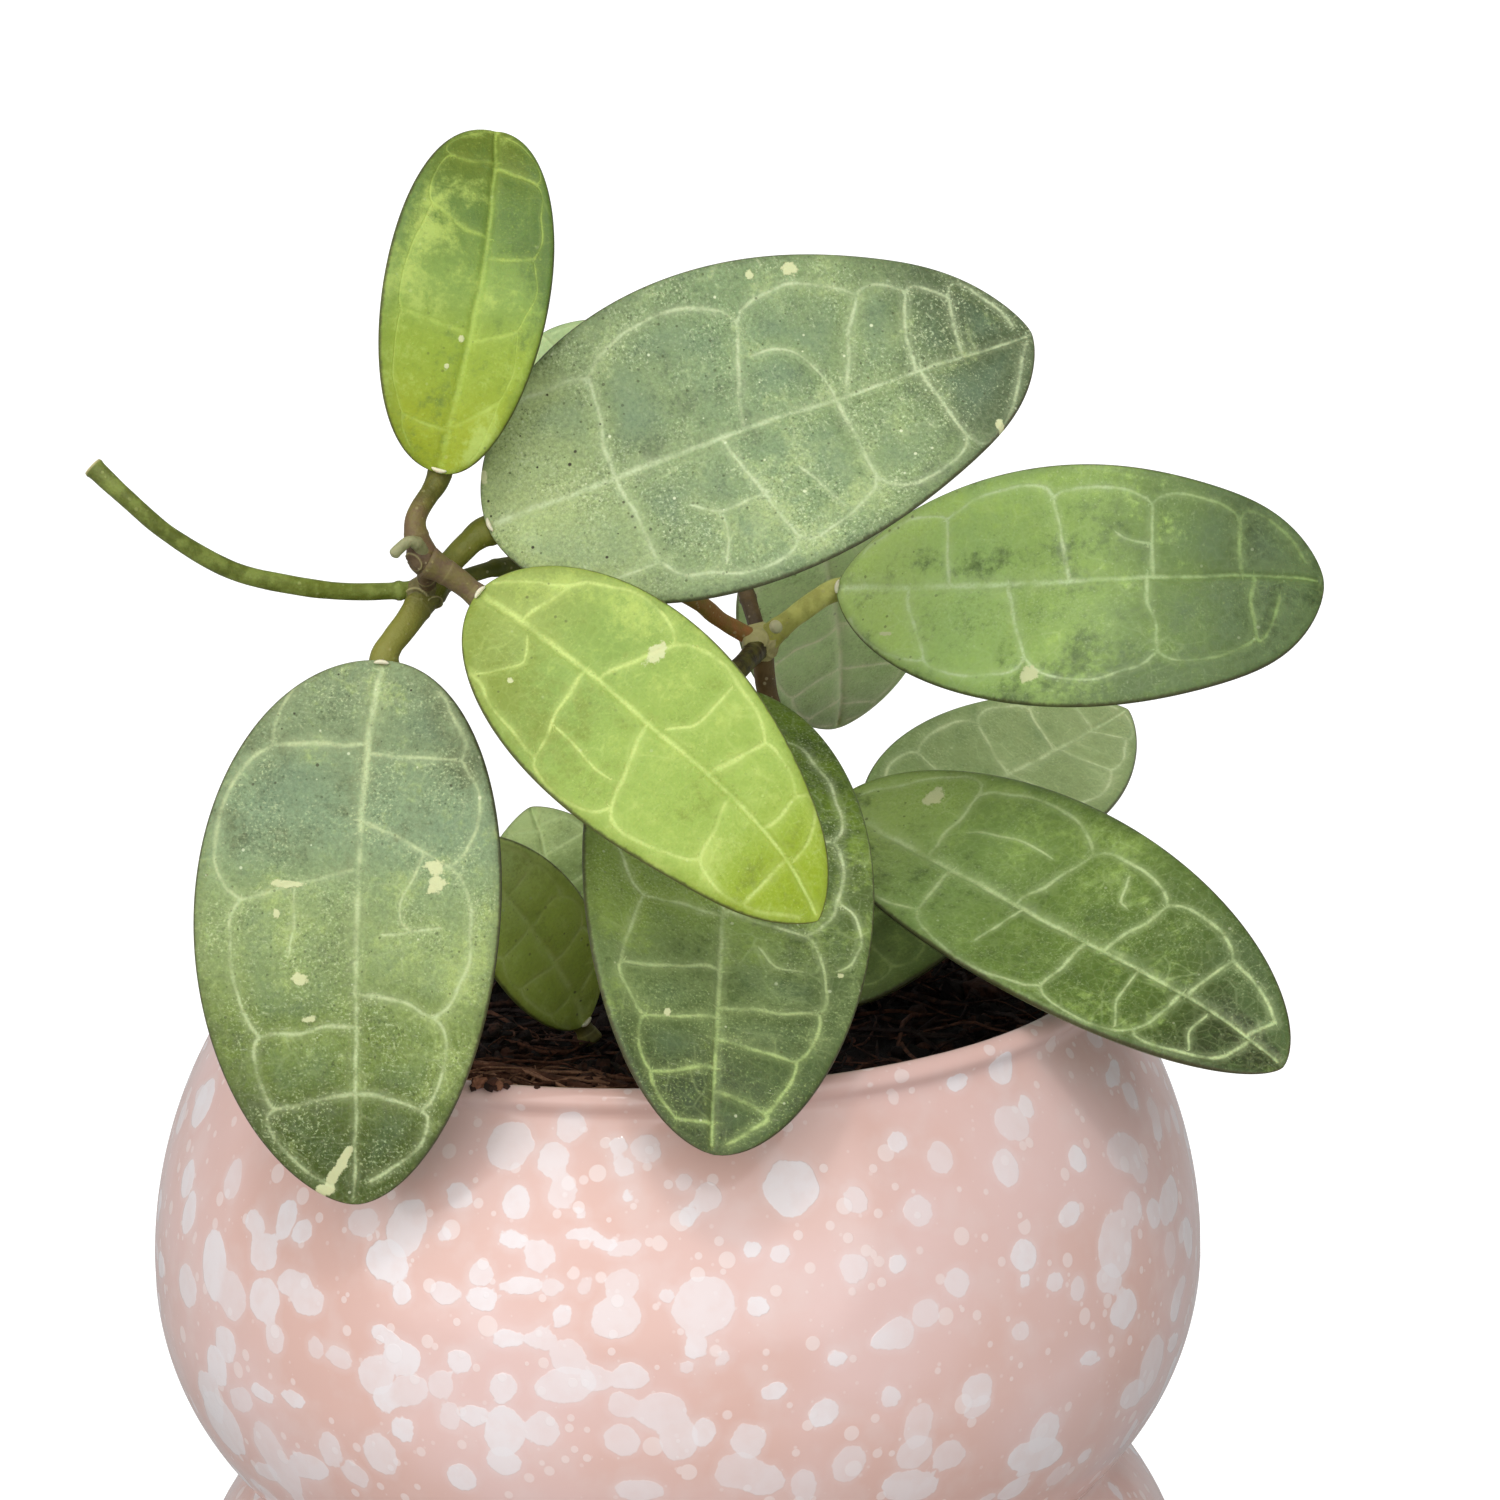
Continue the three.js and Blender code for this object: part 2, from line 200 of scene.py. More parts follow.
def blend(share, a, b, kind="MIX"):
    """Colour a turned towards colour b by share."""
    return put("Mix", {0: share, 6: a, 7: b}, data_type="RGBA", blend_type=kind)[2]


def fade(value, start, end, low=0.0, high=1.0):
    """An even S-shaped step from low at start to high at end."""
    return put("MapRange", {0: value, 1: start, 2: end, 3: low, 4: high}, interpolation_type="SMOOTHSTEP")


def cloud(where, size, detail=2.0, roughness=0.5):
    """Cloudy values about one half, with patches of that size in mm."""
    return put("TexNoise", dict(Vector=where, Scale=1 / size, Detail=detail, Roughness=roughness))


def move(operation, vector, **sockets):
    """A vector scaled by Scale, or multiplied by or added to the vector Other."""
    other = {1: sockets.pop("Other")} if "Other" in sockets else {}
    return put("VectorMath", {0: vector, **other, **sockets}, operation=operation)


def millimetres():
    """Object coordinates in mm."""
    return move("SCALE", put("TexCoord")["Object"], Scale=1 / MM)


def carried(label, output="Fac"):
    """A field that the piece's points carry."""
    return put("Attribute", attribute_name=label)[output]


def new_group(name, inputs, **outputs):
    """Takes in hand an empty shader node group with named inputs and outputs; gives it and its inputs."""
    global tree
    tree = bpy.data.node_groups.new(name, "ShaderNodeTree")
    kinds = {float: "Float", tuple: "Color", type(None): "Vector"}
    for label, value in inputs.items():
        socket = tree.interface.new_socket(label, in_out="INPUT", socket_type="NodeSocket" + kinds[type(value)])
        if value is not None:
            socket.default_value = value
    for label, kind in outputs.items():
        tree.interface.new_socket(label, in_out="OUTPUT", socket_type="NodeSocket" + kind)
    return tree, Tone(tree.nodes.new("NodeGroupInput").outputs[0])


def give_out(**tones):
    """Links tones to the outputs of the group in hand."""
    end = tree.nodes.new("NodeGroupOutput")
    for label, tone in tones.items():
        tree.links.new(tone.socket, end.inputs[label])


def new_material(name):
    """Takes in hand the node tree of a new material."""
    global tree
    material = bpy.data.materials.new(name)
    material.use_nodes = True
    tree = material.node_tree
    return material


def finish_material(material, shown, roughness, height=None, depth=1.0, **fixed):
    """Puts the tones of the tree in hand on the material's shader; height is in mm."""
    shader = tree.nodes["Principled BSDF"]
    tree.links.new(shown.socket, shader.inputs["Base Color"])
    tree.links.new(roughness.socket, shader.inputs["Roughness"])
    if height is not None:
        bump = put("Bump", {"Strength": depth, "Distance": MM, "Height": height})
        tree.links.new(bump.socket, shader.inputs["Normal"])
    for key, value in fixed.items():
        shader.inputs[key.replace("_", " ")].default_value = value
    return material


speck_group, given = new_group(
    "scattered specks", dict(Place=None, Spacing=2.0, Share=0.5, Radius=0.2, Softness=0.4), Mask="Float")
cells = put("TexVoronoi", {"Vector": given["Place"], "Scale": calc("DIVIDE", 1.0, given["Spacing"])})
drawn = put("SeparateColor", {0: cells["Color"]})
reach = given["Radius"] * (drawn[1] + 0.5)
inside = calc("SUBTRACT", 1.0, calc("DIVIDE", cells["Distance"], reach))
give_out(Mask=calc("LESS_THAN", drawn[0], given["Share"]) * fade(inside, 0.0, given["Softness"]))


def specks(place, spacing, share, radius, softness=0.4):
    """Mask of round specks, one at most in each cell of that spacing in mm; radius is a share of the spacing."""
    return put("Group", dict(Place=place, Spacing=spacing, Share=share, Radius=radius, Softness=softness),
               node_tree=speck_group)


# Flecks seen on the front of the belly: degrees round from the front, height, half width and half height in mm.
SEEN_FLECKS = """
-72.8,103.2,3.1,3.4 -69,95.2,2.3,2.5 -66.1,92.1,2.1,3 -64,83.8,3.2,2.6 -59.8,71.3,3.4,3.5 -58.6,68.1,4.9,4.4
-57.8,88.4,3.1,4.3 -57.4,98.5,1.9,2.5 -56.8,76.3,2.6,2.5 -54.5,79.8,2.6,2.3 -53.5,86,3.1,2.9 -52.3,73.5,2.7,1.8
-51.2,95.2,2.1,1.4 -48.9,68.6,2.9,3.3 -48.7,92.3,2.6,2.3 -48,64.7,3.1,2.7 -48,75.7,2.2,1 -47.7,87.2,2.9,2.7
-46,96.8,1.8,2.3 -45.6,83.1,1.7,1.8 -43.4,90.1,2.9,1.6 -43.3,96,2,1.4 -43,76.4,2.2,1.2 -42.7,67.7,3.7,1.9
-40.8,88.7,2.6,1.8 -39.5,83.5,1.3,1.4 -38.5,71,1.9,2.6 -36,83.1,1.9,1.3 -35.6,68.6,1.8,1.7 -34.9,98.4,2.3,1.8
-31.7,81.9,2.5,2.3 -31.6,72.1,2.4,2.7 -31.1,95,3,2.6 -30.6,79.1,1.6,1.6 -30.6,86.7,2,0.9 -29.3,98.7,2.7,3.6
-28.9,91.8,1.5,1.3 -28.5,76,1.6,1.6 -28.2,84.4,2.4,1.9 -27.5,80.9,2.6,1.9 -24.5,98.6,1,1 -24,92.5,2,1.4
-23.9,81.9,1.7,1.6 -23.6,102.8,2,1.3 -23,78.4,1.4,1.7 -22.2,70.9,1.9,1.8 -21.9,85.1,1.6,1.4 -20.4,78.9,2,1.3
-19.9,95,1.6,1.6 -19.7,92.3,1.9,1.4 -18.4,108.2,2.9,3 -17.4,73.6,2.3,1.7 -17.2,77.2,2.5,3.1 -17.2,82.5,1.6,1.7
-17,98.9,1.9,1 -16.8,88.1,1.8,1.2 -16.7,102.6,1.6,2 -15.6,93.9,2.6,1 -13.7,97.3,1.9,1.8 -13.2,88.5,1.5,1.3
-13,77.9,1.9,2.1 -13,107,1.9,2 -12.2,93.9,1.3,1 -11.7,103.8,1.7,1.8 -11.3,110.5,1.7,1.9 -11,91.1,1.2,1.3
-10.8,83.2,3.7,2 -10.4,86.5,2.2,2 -9.7,99.7,1.5,0.6 -9.5,101.9,0.7,0.7 -8.7,94.4,0.9,1.2 -7.6,84.1,1.8,1.5
-7.3,99,2.2,0.8 -5.6,90.9,2.9,2.5 -5.5,108.6,1.1,1.1 -5.2,77,2.2,1.9 -5.1,81.2,1.6,1.5 -4.9,94.6,2,1.6
-4.9,106.6,1.4,1.1 -4.6,98.3,2.2,0.9 -4.3,103.7,0.9,0.8 -4.2,84.3,2.2,1.6 -3.8,70.6,2.9,1.3 -2.4,108.3,1.9,1.8
-1.3,80.4,3,2.2 -0.3,93.2,1.1,0.9 0.5,76.9,2.1,2.7 1.5,85.2,0.9,0.7 1.9,104.9,1.1,1 2.1,101.5,1.2,1.3
2.4,87.5,1.2,1.4 2.9,77.6,1.4,1.7 3.4,92,3.6,3.4 4.4,103.3,1.6,1.6 5.1,86.1,1,1 6.1,72.7,2.5,2.5 7.3,76.3,2,2.1
8.7,71.2,2.6,2.1 8.8,97.6,1.1,1 8.9,91.5,1.4,1.2 9.9,81.9,1.6,1 11.5,96.9,1.3,1.1 13,69.9,1.6,2.4
13.7,103.6,3.3,3.3 15.1,78.7,1.9,1.7 16.6,84.9,1.4,1.1 17.7,72.1,2.1,2.3 19.5,94.5,1.8,1.9 20.7,101.6,1.5,1.7
21.8,86.3,1.9,1.1 22.2,79.5,1.2,1.4 23.5,86.6,1.9,2 24.4,94.3,1.3,1.2 24.8,67.6,4.1,2.3 24.9,72.1,2.5,2.3
25.2,75.4,2,2.9 26.6,88.3,1.9,1.8 27.2,106.6,1.4,1.4 27.7,99.3,2,1.8 29,70.6,2.4,2.1 30.8,90.8,1.8,1.8
32,104.2,1.9,1.9 32.1,78,2.2,2.1 32.2,75.9,1.9,1.4 38,83.5,1.3,1.2 38.1,111.1,1.5,1.1 39.4,89.2,0.9,1.1
39.7,91.7,2.1,2 40.3,101.4,2,2.2 41.2,66.9,5.1,2.5 41.7,69.8,2.5,2.6 43.5,105.6,2.7,2.4 43.6,87.8,1.4,1.1
45.3,111.2,2.2,2.1 46.5,106.7,1.3,1.5 46.6,86,1.4,1.4 47.6,94.4,2.2,1.3 48,77.2,2.3,1 51.5,99.7,1.7,1.7
52.1,85.4,2.8,1.8 54,88.5,3.7,3.6 54.3,81,3,2.3 55.2,90.8,2.5,1.8 57.6,69.1,3.7,2.1 59,91.7,2.3,2.3
60.8,97.7,4.2,2.5 61.4,71.1,3.6,4 62.8,94.8,2,1.5 63.4,89.5,2,1.9"""
SEEN_TURNS, SEEN_ABOVE = (-74, 66), 64
RUN_TOGETHER = 0.45

heights = np.concatenate([np.linspace(1.6, 47, 31), np.linspace(47.8, 55.4, 12), np.linspace(56.3, 110.6, 60)])
outside = np.stack([pot_radius(heights), heights], -1)
depths = np.linspace(110.4, 9.5, 20)
within = np.stack([pot_radius(depths) - POT_WALL, depths], -1)
lip = smooth_path([outside[-1], *LIP, within[0]], 22)[1:-1]
profile = np.vstack([FOOT, outside, lip, within, FLOOR_INSIDE])
outer = len(FOOT) + len(outside) + 8
run = way_along(profile)
pot_points = np.vstack([[[0, 0, 0]], turned(*profile.T, POT_COLUMNS).reshape(-1, 3), [[0, 0, FLOOR_THICK]]])

pick = np.random.default_rng(41)
flecks = [(*map(float, item.split(",")), True) for item in SEEN_FLECKS.split()]
for turn, height in zip(pick.uniform(-180, 180, 900), pick.uniform(3, 112, 900)):
    wide, tall = np.clip(np.exp(pick.normal([0.62, 0.55], 0.38)), 0.7, 4.2)
    if not (SEEN_TURNS[0] < turn < SEEN_TURNS[1] and height > SEEN_ABOVE):
        flecks.append((turn, height, wide, tall, False))


def fleck_fields(flecks):
    """For every point of the pot, the signed distance in mm to the nearest fleck and how white that fleck is. An
    ellipse's distance is q(q - 1) / g, where q is the length of (u / width, v / height) and g that of
    (u / width^2, v / height^2); flecks that touch run together by minus k log of the sum of exp(-distance / k),
    and the whiteness is the mean weighed by the same terms."""
    side = np.broadcast_to(np.degrees(round_way(POT_COLUMNS)), (len(profile), POT_COLUMNS))
    total = np.full(side.shape, 1e-9)
    white = np.zeros(side.shape)
    for turn, height, wide, tall, seen in flecks:
        strength = pick.uniform(0.45, 0.9) if seen or pick.random() < 0.7 else pick.uniform(0.3, 0.6)
        lean = pick.uniform(-0.35, 0.35)
        u = ((side - turn + 180) % 360 - 180) * np.pi / 180 * profile[:, :1]
        v = (run - np.interp(height, profile[:outer, 1], run[:outer]))[:, None]
        u, v = (u + lean * v) / wide, (v - lean * u) / tall
        q = np.hypot(u, v) + 1e-6
        distance = q * (q - 1) / (np.hypot(u / wide, v / tall) + 1e-6)
        weight = np.exp(-np.clip(distance, -6, 12) / RUN_TOGETHER)
        total += weight
        white += weight * strength
    return -RUN_TOGETHER * np.log(total), white / total


glaze = new_material("glaze pink spattered white")
place = millimetres()
ragged = (cloud(place, 2.4, 3.0) - 0.5) * 1.3
milky = fade(cloud(place, 2.2, 3.0), 0.3, 0.6, 0.8, 1.0)
fleck_layers, solid, veil = {}, [], []
for start, label in enumerate(("under", "over")):
    for key, values in zip(("fleck_mm_", "fleck_white_"), fleck_fields(flecks[start::2])):
        fleck_layers[key + label] = np.pad(values.ravel(), 1, constant_values=6.0)
    edge = carried("fleck_mm_" + label) + ragged
    solid.append(fade(edge, 0.06, -0.12) * (carried("fleck_white_" + label) * milky))
    veil.append(fade(edge, 1.0, 0.1) * 0.12)
core = calc("MAXIMUM", *solid)
droplets, drops = specks(place, 4.3, 0.8, 0.2, 0.12) * 0.75, specks(place, 2.5, 0.5, 0.21, 0.2) * 0.7
mist = specks(place, 1.2, 0.3, 0.2) * 0.4
dots = calc("MAXIMUM", calc("MAXIMUM", droplets, drops), mist)
glazed = blend(fade(cloud(place, 26.0, 2.0), 0.35, 0.65), "#d5b6b0", "#d0aba0")
glazed = blend(fade(cloud(place, 5.0, 3.0), 0.45, 0.7) * 0.3, glazed, "#d6c2bd")
glazed = blend(dots, glazed, "#ddcbc6")
for share in (*veil, *solid):
    glazed = blend(share, glazed, "#dcd6d7")
grit = specks(place, 9.0, 0.25, 0.032, 0.3)
glazed = blend(grit * 0.8, glazed, "#6d4a40")
peel = cloud(place, 3.0, 2.0)
raised = core * 0.06 + (peel * 0.05 + dots * 0.03)
finish_material(glaze, glazed, fade(core, 0, 1, 0.15, 0.22), raised, 0.5, IOR=1.5)
add_piece("pot_glazed", pot_points, tube_faces(len(profile), POT_COLUMNS), glaze, "glaze", "pot_lower_bulb",
          "pot_upper_bulb", **fleck_layers)

# The growing medium
# Coarse coconut husk: dark crumbs bound by reddish-brown strands that lie flat and curl. It was packed in by
# hand round the roots, stands highest at the front left, and a few crumbs have fallen on the lip there.

MOUND = dict(x=-20, y=-37, spread=13, height=4)
# Painted light: the husk round this place at the front left is painted lighter, and elsewhere painted darker for the
# leaves' shade.
LIT_PLACE = dict(x=-18, y=-42, wide=15, deep=12)
LUMPS = [(2.6, 7), (1.7, 3.1), (1.1, 1.4), (0.5, 0.7)]
GAP = 0.6
BRIM = float(pot_radius(np.array(110.0))) - POT_WALL - GAP
MEDIUM_COLUMNS = 240
GRID = 97


def bumpy(x, y, size, seed):
    """Smooth random heights from 0 to 1: seeded values on a square grid of that size in mm, blended between
    neighbours with the weight 3t^2 - 2t^3."""
    values = np.random.default_rng(seed).random((GRID, GRID))
    u, v = np.asarray(x) / size + 500, np.asarray(y) / size + 500
    i, j = np.floor(u).astype(int), np.floor(v).astype(int)
    u, v = u - i, v - j
    u, v = u * u * (3 - 2 * u), v * v * (3 - 2 * v)
    near, far, near_up, far_up = (values[(i + a) % GRID, (j + b) % GRID] for b in (0, 1) for a in (0, 1))
    return (near * (1 - u) + far * u) * (1 - v) + (near_up * (1 - u) + far_up * u) * v


def medium_height(x, y):
    """Height of the medium: 106, a faint swell, and a rounded mound at the front left."""
    away = (x - MOUND["x"]) ** 2 + (y - MOUND["y"]) ** 2
    swell = 0.35 * np.sin(0.21 * x + 0.5) * np.cos(0.17 * y)
    return 106 + swell + MOUND["height"] * np.exp(-away / (2 * MOUND["spread"] ** 2))


def medium_top(x, y):
    """The medium's height with its lumps: four layers of smooth random heights, the finer the lower."""
    lumps = sum(high * bumpy(x, y, size, seed) for seed, (high, size) in enumerate(LUMPS, 1))
    return medium_height(x, y) + lumps - 3.4


def husk_material(name, dark, mid, light):
    """Rough, dried-out husk: three browns by the piece's own shade, with darker pits and a fine fuzz."""
    material = new_material(name)
    place = millimetres()
    tone = carried("shade") + (cloud(place, 1.3, 4.0) - 0.5) * 0.9
    base = blend(fade(tone, 0.1, 0.6), dark, mid)
    base = blend(fade(tone, 0.6, 1.1), base, light)
    fuzz = cloud(place, 0.5, 4.0, 0.7) + cloud(place, 2.0, 2.0)
    return finish_material(material, base, fade(fuzz, 0.6, 1.4, 0.8, 0.97), fuzz, 0.9, Specular_IOR_Level=0.25)


def lit_and_shaded(points, shade):
    """Shades of brown with painted light at the front left, by the rim, and painted shade elsewhere, under the leaves:
    shade times (0.4 + 0.6 d) plus 0.45 d, with d falling off round the middle of that lit place."""
    away = ((points[:, 0] - LIT_PLACE["x"]) / LIT_PLACE["wide"]) ** 2 + ((points[:, 1] - LIT_PLACE["y"]) / LIT_PLACE["deep"]) ** 2
    lit_share = np.exp(-away / 2)
    return shade * (0.4 + 0.6 * lit_share) + 0.45 * lit_share


out = np.linspace(0, 1, 96)[1:] ** 0.85 * BRIM
top = turned(out, out, MEDIUM_COLUMNS)
top[..., 2] = medium_top(top[..., 0], top[..., 1])
side_z = np.array([98, 80, 64, 52, 40, 20, 8.0])
side = turned([*(pot_radius(side_z) - POT_WALL - GAP), 36], [*side_z, 6.5], MEDIUM_COLUMNS)
middle = medium_top(np.zeros(1), np.zeros(1))[0]
points = np.vstack([[[0, 0, middle]], np.vstack([top, side]).reshape(-1, 3), [[0, 0, 6.5]]])
# The medium's top carries painted light at the front left and painted shade elsewhere.
shade = lit_and_shaded(points, 0.25 + 0.35 * bumpy(points[:, 0], points[:, 1], 2.2, 9))
add_piece("potting_medium", points, tube_faces(len(top) + len(side), MEDIUM_COLUMNS),
          husk_material("husk medium", "#0d0907", "#2c1b13", "#6b4430"), "medium", "soil", shade=shade)

# Crumbs: a twenty-sided lump, stretched, turned and set down some hundreds of times.
CRUMBS = 1500
GOLD = (1 + 5 ** 0.5) / 2
LUMP = np.array([(-1, GOLD, 0), (1, GOLD, 0), (-1, -GOLD, 0), (1, -GOLD, 0), (0, -1, GOLD), (0, 1, GOLD),
                 (0, -1, -GOLD), (0, 1, -GOLD), (GOLD, 0, -1), (GOLD, 0, 1), (-GOLD, 0, -1), (-GOLD, 0, 1)]) / 1.9
LUMP_FACES = np.array([(0, 11, 5), (0, 5, 1), (0, 1, 7), (0, 7, 10), (0, 10, 11), (1, 5, 9), (5, 11, 4), (11, 10, 2),
                       (10, 7, 6), (7, 1, 8), (3, 9, 4), (3, 4, 2), (3, 2, 6), (3, 6, 8), (3, 8, 9), (4, 9, 5),
                       (2, 4, 11), (6, 2, 10), (8, 6, 7), (9, 8, 1)])


def crumbs(centres, sizes, seed):
    """Copies of the lump: each corner times a random length of 0.7 to 1.3, each axis times one of 0.6 to 1.5,
    turned about the upright by a random angle, then scaled and moved to its centre."""
    draw = np.random.default_rng(seed)
    count = len(centres)
    points = LUMP * draw.uniform(0.7, 1.3, (count, 12, 1)) * draw.uniform(0.6, 1.5, (count, 1, 3))
    turn = draw.uniform(0, 2 * np.pi, (count, 1))
    x = points[..., 0] * np.cos(turn) - points[..., 1] * np.sin(turn)
    y = points[..., 0] * np.sin(turn) + points[..., 1] * np.cos(turn)
    points = np.stack([x, y, points[..., 2]], -1) * sizes[:, None, None] + centres[:, None]
    faces = (LUMP_FACES + 12 * np.arange(count)[:, None, None]).reshape(-1, 3)
    return points.reshape(-1, 3), [faces], np.repeat(draw.uniform(0, 1, count) ** 1.6, 12)


def strewn(draw, count, within):
    """Places spread evenly over the medium out to a radius."""
    reach = np.sqrt(draw.random(count)) * within
    angle = draw.uniform(0, 2 * np.pi, count)
    return reach * np.sin(angle), -reach * np.cos(angle)


draw = np.random.default_rng(5)
x, y = strewn(draw, CRUMBS, BRIM - 1.5)
sizes = np.clip(np.exp(draw.normal(-0.35, 0.4, CRUMBS)), 0.3, 1.7)
centres = np.stack([x, y, medium_top(x, y) + sizes * 0.35], -1)
# The spill lies on the lip, at 14 to 27 degrees left of the front.
SPILT = 46
angle = np.radians(-draw.normal(21.5, 2.6, SPILT))
ledge = draw.uniform(50.6, 55.4, SPILT)
lip_top = np.interp(ledge, [50.6, 51.9, 53.3, 54.6, 55.4], [112.0, 113.3, 114.25, 114.48, 114.2])
spilt = np.clip(np.exp(draw.normal(-0.75, 0.35, SPILT)), 0.22, 0.9)
centres = np.vstack([centres, np.stack([ledge * np.sin(angle), -ledge * np.cos(angle), lip_top + spilt * 0.4], -1)])
points, faces, shade = crumbs(centres, np.concatenate([sizes, spilt]), 6)
crumb_stuff = husk_material("husk crumbs", "#170e0a", "#583729", "#a06e52")
# The crumbs carry the same painted light and shade.
add_piece("husk_crumbs", points, faces, crumb_stuff, "medium", "soil", shade=lit_and_shaded(points, shade))


def strands(centres, headings, lengths, radii, seed):
    """Three-sided strands of nine rings. Each runs along its heading, bowed sideways by a random share of its
    length times 1 - 4t^2 and curled by a slow sine, and rises and dips on the medium; the radius thins to a point
    at both ends as the root of 1 - (2t)^4."""
    draw = np.random.default_rng(seed)
    count = len(centres)
    t = np.linspace(-0.5, 0.5, 9)
    bow = draw.uniform(-0.28, 0.28, (count, 1)) * (1 - 4 * t ** 2) + draw.uniform(-0.06, 0.06, (count, 1)) * np.sin(
        2 * np.pi * t + draw.uniform(0, 6, (count, 1)))
    along, sideways = t * lengths[:, None], bow * lengths[:, None]
    c, s = np.cos(headings)[:, None], np.sin(headings)[:, None]
    x = centres[:, :1] + along * c - sideways * s
    y = centres[:, 1:2] + along * s + sideways * c
    pull = np.minimum(1, (BRIM - 0.7) / np.maximum(np.hypot(x, y), 1e-6))
    x, y = x * pull, y * pull
    lift = centres[:, 2:3] + 0.55 * np.sin(5 * t + draw.uniform(0, 6, (count, 1)))
    path = np.stack([x, y, medium_top(x, y) * 0.35 + medium_height(x, y) * 0.65 + lift], -1)
    way = round_way(3)[:, None]
    thick = radii[:, None] * np.sqrt(np.maximum(1 - (2 * t) ** 4, 0.04))
    across = np.stack([-s + 0 * x, c + 0 * x, 0 * x], -1)[:, :, None]
    ring = path[:, :, None] + thick[..., None, None] * (across * np.cos(way) + np.array([0, 0, 1.0]) * np.sin(way))
    points = np.concatenate([path[:, :1], ring.reshape(count, -1, 3), path[:, -1:]], 1)
    faces = [(f + points.shape[1] * np.arange(count)[:, None, None]).reshape(-1, f.shape[1]) for f in tube_faces(9, 3)]
    return points.reshape(-1, 3), faces, np.repeat(draw.random(count), points.shape[1])


STRANDS, IN_FRONT = 760, 240
x, y = strewn(draw, STRANDS, BRIM - 3)
x[:IN_FRONT], y[:IN_FRONT] = draw.normal(-15, 9, IN_FRONT), draw.normal(-39, 4.5, IN_FRONT)
headings = draw.uniform(0, np.pi, STRANDS)
headings[:IN_FRONT] = draw.normal(0.1, 0.45, IN_FRONT)
lift, lengths = draw.uniform(-0.2, 1.5, STRANDS), draw.uniform(6, 20, STRANDS)
radii = np.clip(np.exp(draw.normal(-1.55, 0.4, STRANDS)), 0.09, 0.5)
points, faces, shade = strands(np.stack([x, y, lift], -1), headings, lengths, radii, 8)
strand_stuff = husk_material("husk strands", "#241510", "#6b4532", "#b5876a")
# The strands carry the same painted light and shade.
add_piece("husk_fuzz", points, faces, strand_stuff, "husk", "soil", shade=lit_and_shaded(points, shade))

# Bark chips and two long husk strands
# Loose flakes of bark, weathered dark and rounded by handling, and two thick coir strands that were pressed
# down by the front rim. All of them just lie on the medium.

# Each chip: its place from above, its half length, half width and half thickness, and its turn in degrees.
BARK_CHIPS = [(30, -30, 4.2, 2.6, 1.2, 20), (-39, 2, 4.6, 3, 1.4, 75), (-30, 29, 5, 3.1, 1.3, -15),
              (-4, -44, 3.6, 2.2, 1, 130), (40, 10, 3.4, 2.6, 1.1, 50)]
FLAKE = (26, 44)


def unit_ball(rings, columns):
    """Points of a ball of radius 1 from pole to pole: (sin u cos v, sin u sin v, cos u)."""
    up = np.linspace(0, np.pi, rings + 2)[1:-1, None]
    way = round_way(columns)
    ball = np.stack([np.sin(up) * np.cos(way), np.sin(up) * np.sin(way), np.cos(up) + 0 * way], -1)
    return np.vstack([[[0, 0, 1]], ball.reshape(-1, 3), [[0, 0, -1]]])


def flake(half_sizes, seed):
    """A rounded box: a ball's point (a, b, c) moves to each sign times the root of its size, times the half size,
    then in and out by smooth random heights."""
    ball = unit_ball(*FLAKE)
    box = np.sign(ball) * np.abs(ball) ** 0.62
    rough = 0.82 + 0.3 * bumpy(box[:, 0] * 3 + box[:, 2], box[:, 1] * 3 - box[:, 2], 0.9, seed)
    points = box * half_sizes * rough[:, None]
    ridges = 0.22 * bumpy(points[:, 0] * 0.4, points[:, 1], 0.35, seed + 50)
    points[:, 2] += ridges * np.sign(ball[:, 2]) * (np.abs(ball[:, 2]) > 0.3)
    return points


bark_stuff = husk_material("bark weathered", "#241711", "#4a2f22", "#8a6448")
for number, (x, y, *half_sizes, turn) in enumerate(BARK_CHIPS, 1):
    c, s = np.cos(np.radians(turn)), np.sin(np.radians(turn))
    shape = flake(np.array(half_sizes), 20 + number) @ np.array([[c, s, 0], [-s, c, 0], [0, 0, 1]])
    shape += [x, y, float(medium_height(x, y)) + 1.0]
    add_piece(f"bark_flake_{number}", shape, tube_faces(*FLAKE), bark_stuff, "husk", f"bark_chip_{number}",
              shade=0.2 + 0.6 * bumpy(shape[:, 0], shape[:, 1], 0.8, 60 + number))


def tube(path, radii, sides):
    """A closed tube about a path. Each ring is the path's point plus the radius times cos of the side vector
    plus sin of the other; the side vector is the tangent crossed with the direction in which the path spreads
    least. It also gives each point's distance along in mm."""
    tangent = np.gradient(path, axis=0)
    tangent /= np.linalg.norm(tangent, axis=1)[:, None]
    side = np.cross(tangent, np.linalg.svd(tangent, full_matrices=True)[2][-1])
    side /= np.linalg.norm(side, axis=1)[:, None]
    other = np.cross(side, tangent)
    way = round_way(sides)[:, None]
    ring = side[:, None] * np.cos(way) + other[:, None] * np.sin(way)
    points = path[:, None] + np.asarray(radii).reshape(len(path), -1, 1) * ring
    length = way_along(path)
    each = np.concatenate([[0], np.repeat(length, sides), [length[-1]]])
    return np.vstack([path[:1], points.reshape(-1, 3), path[-1:]]), tube_faces(len(path), sides), each


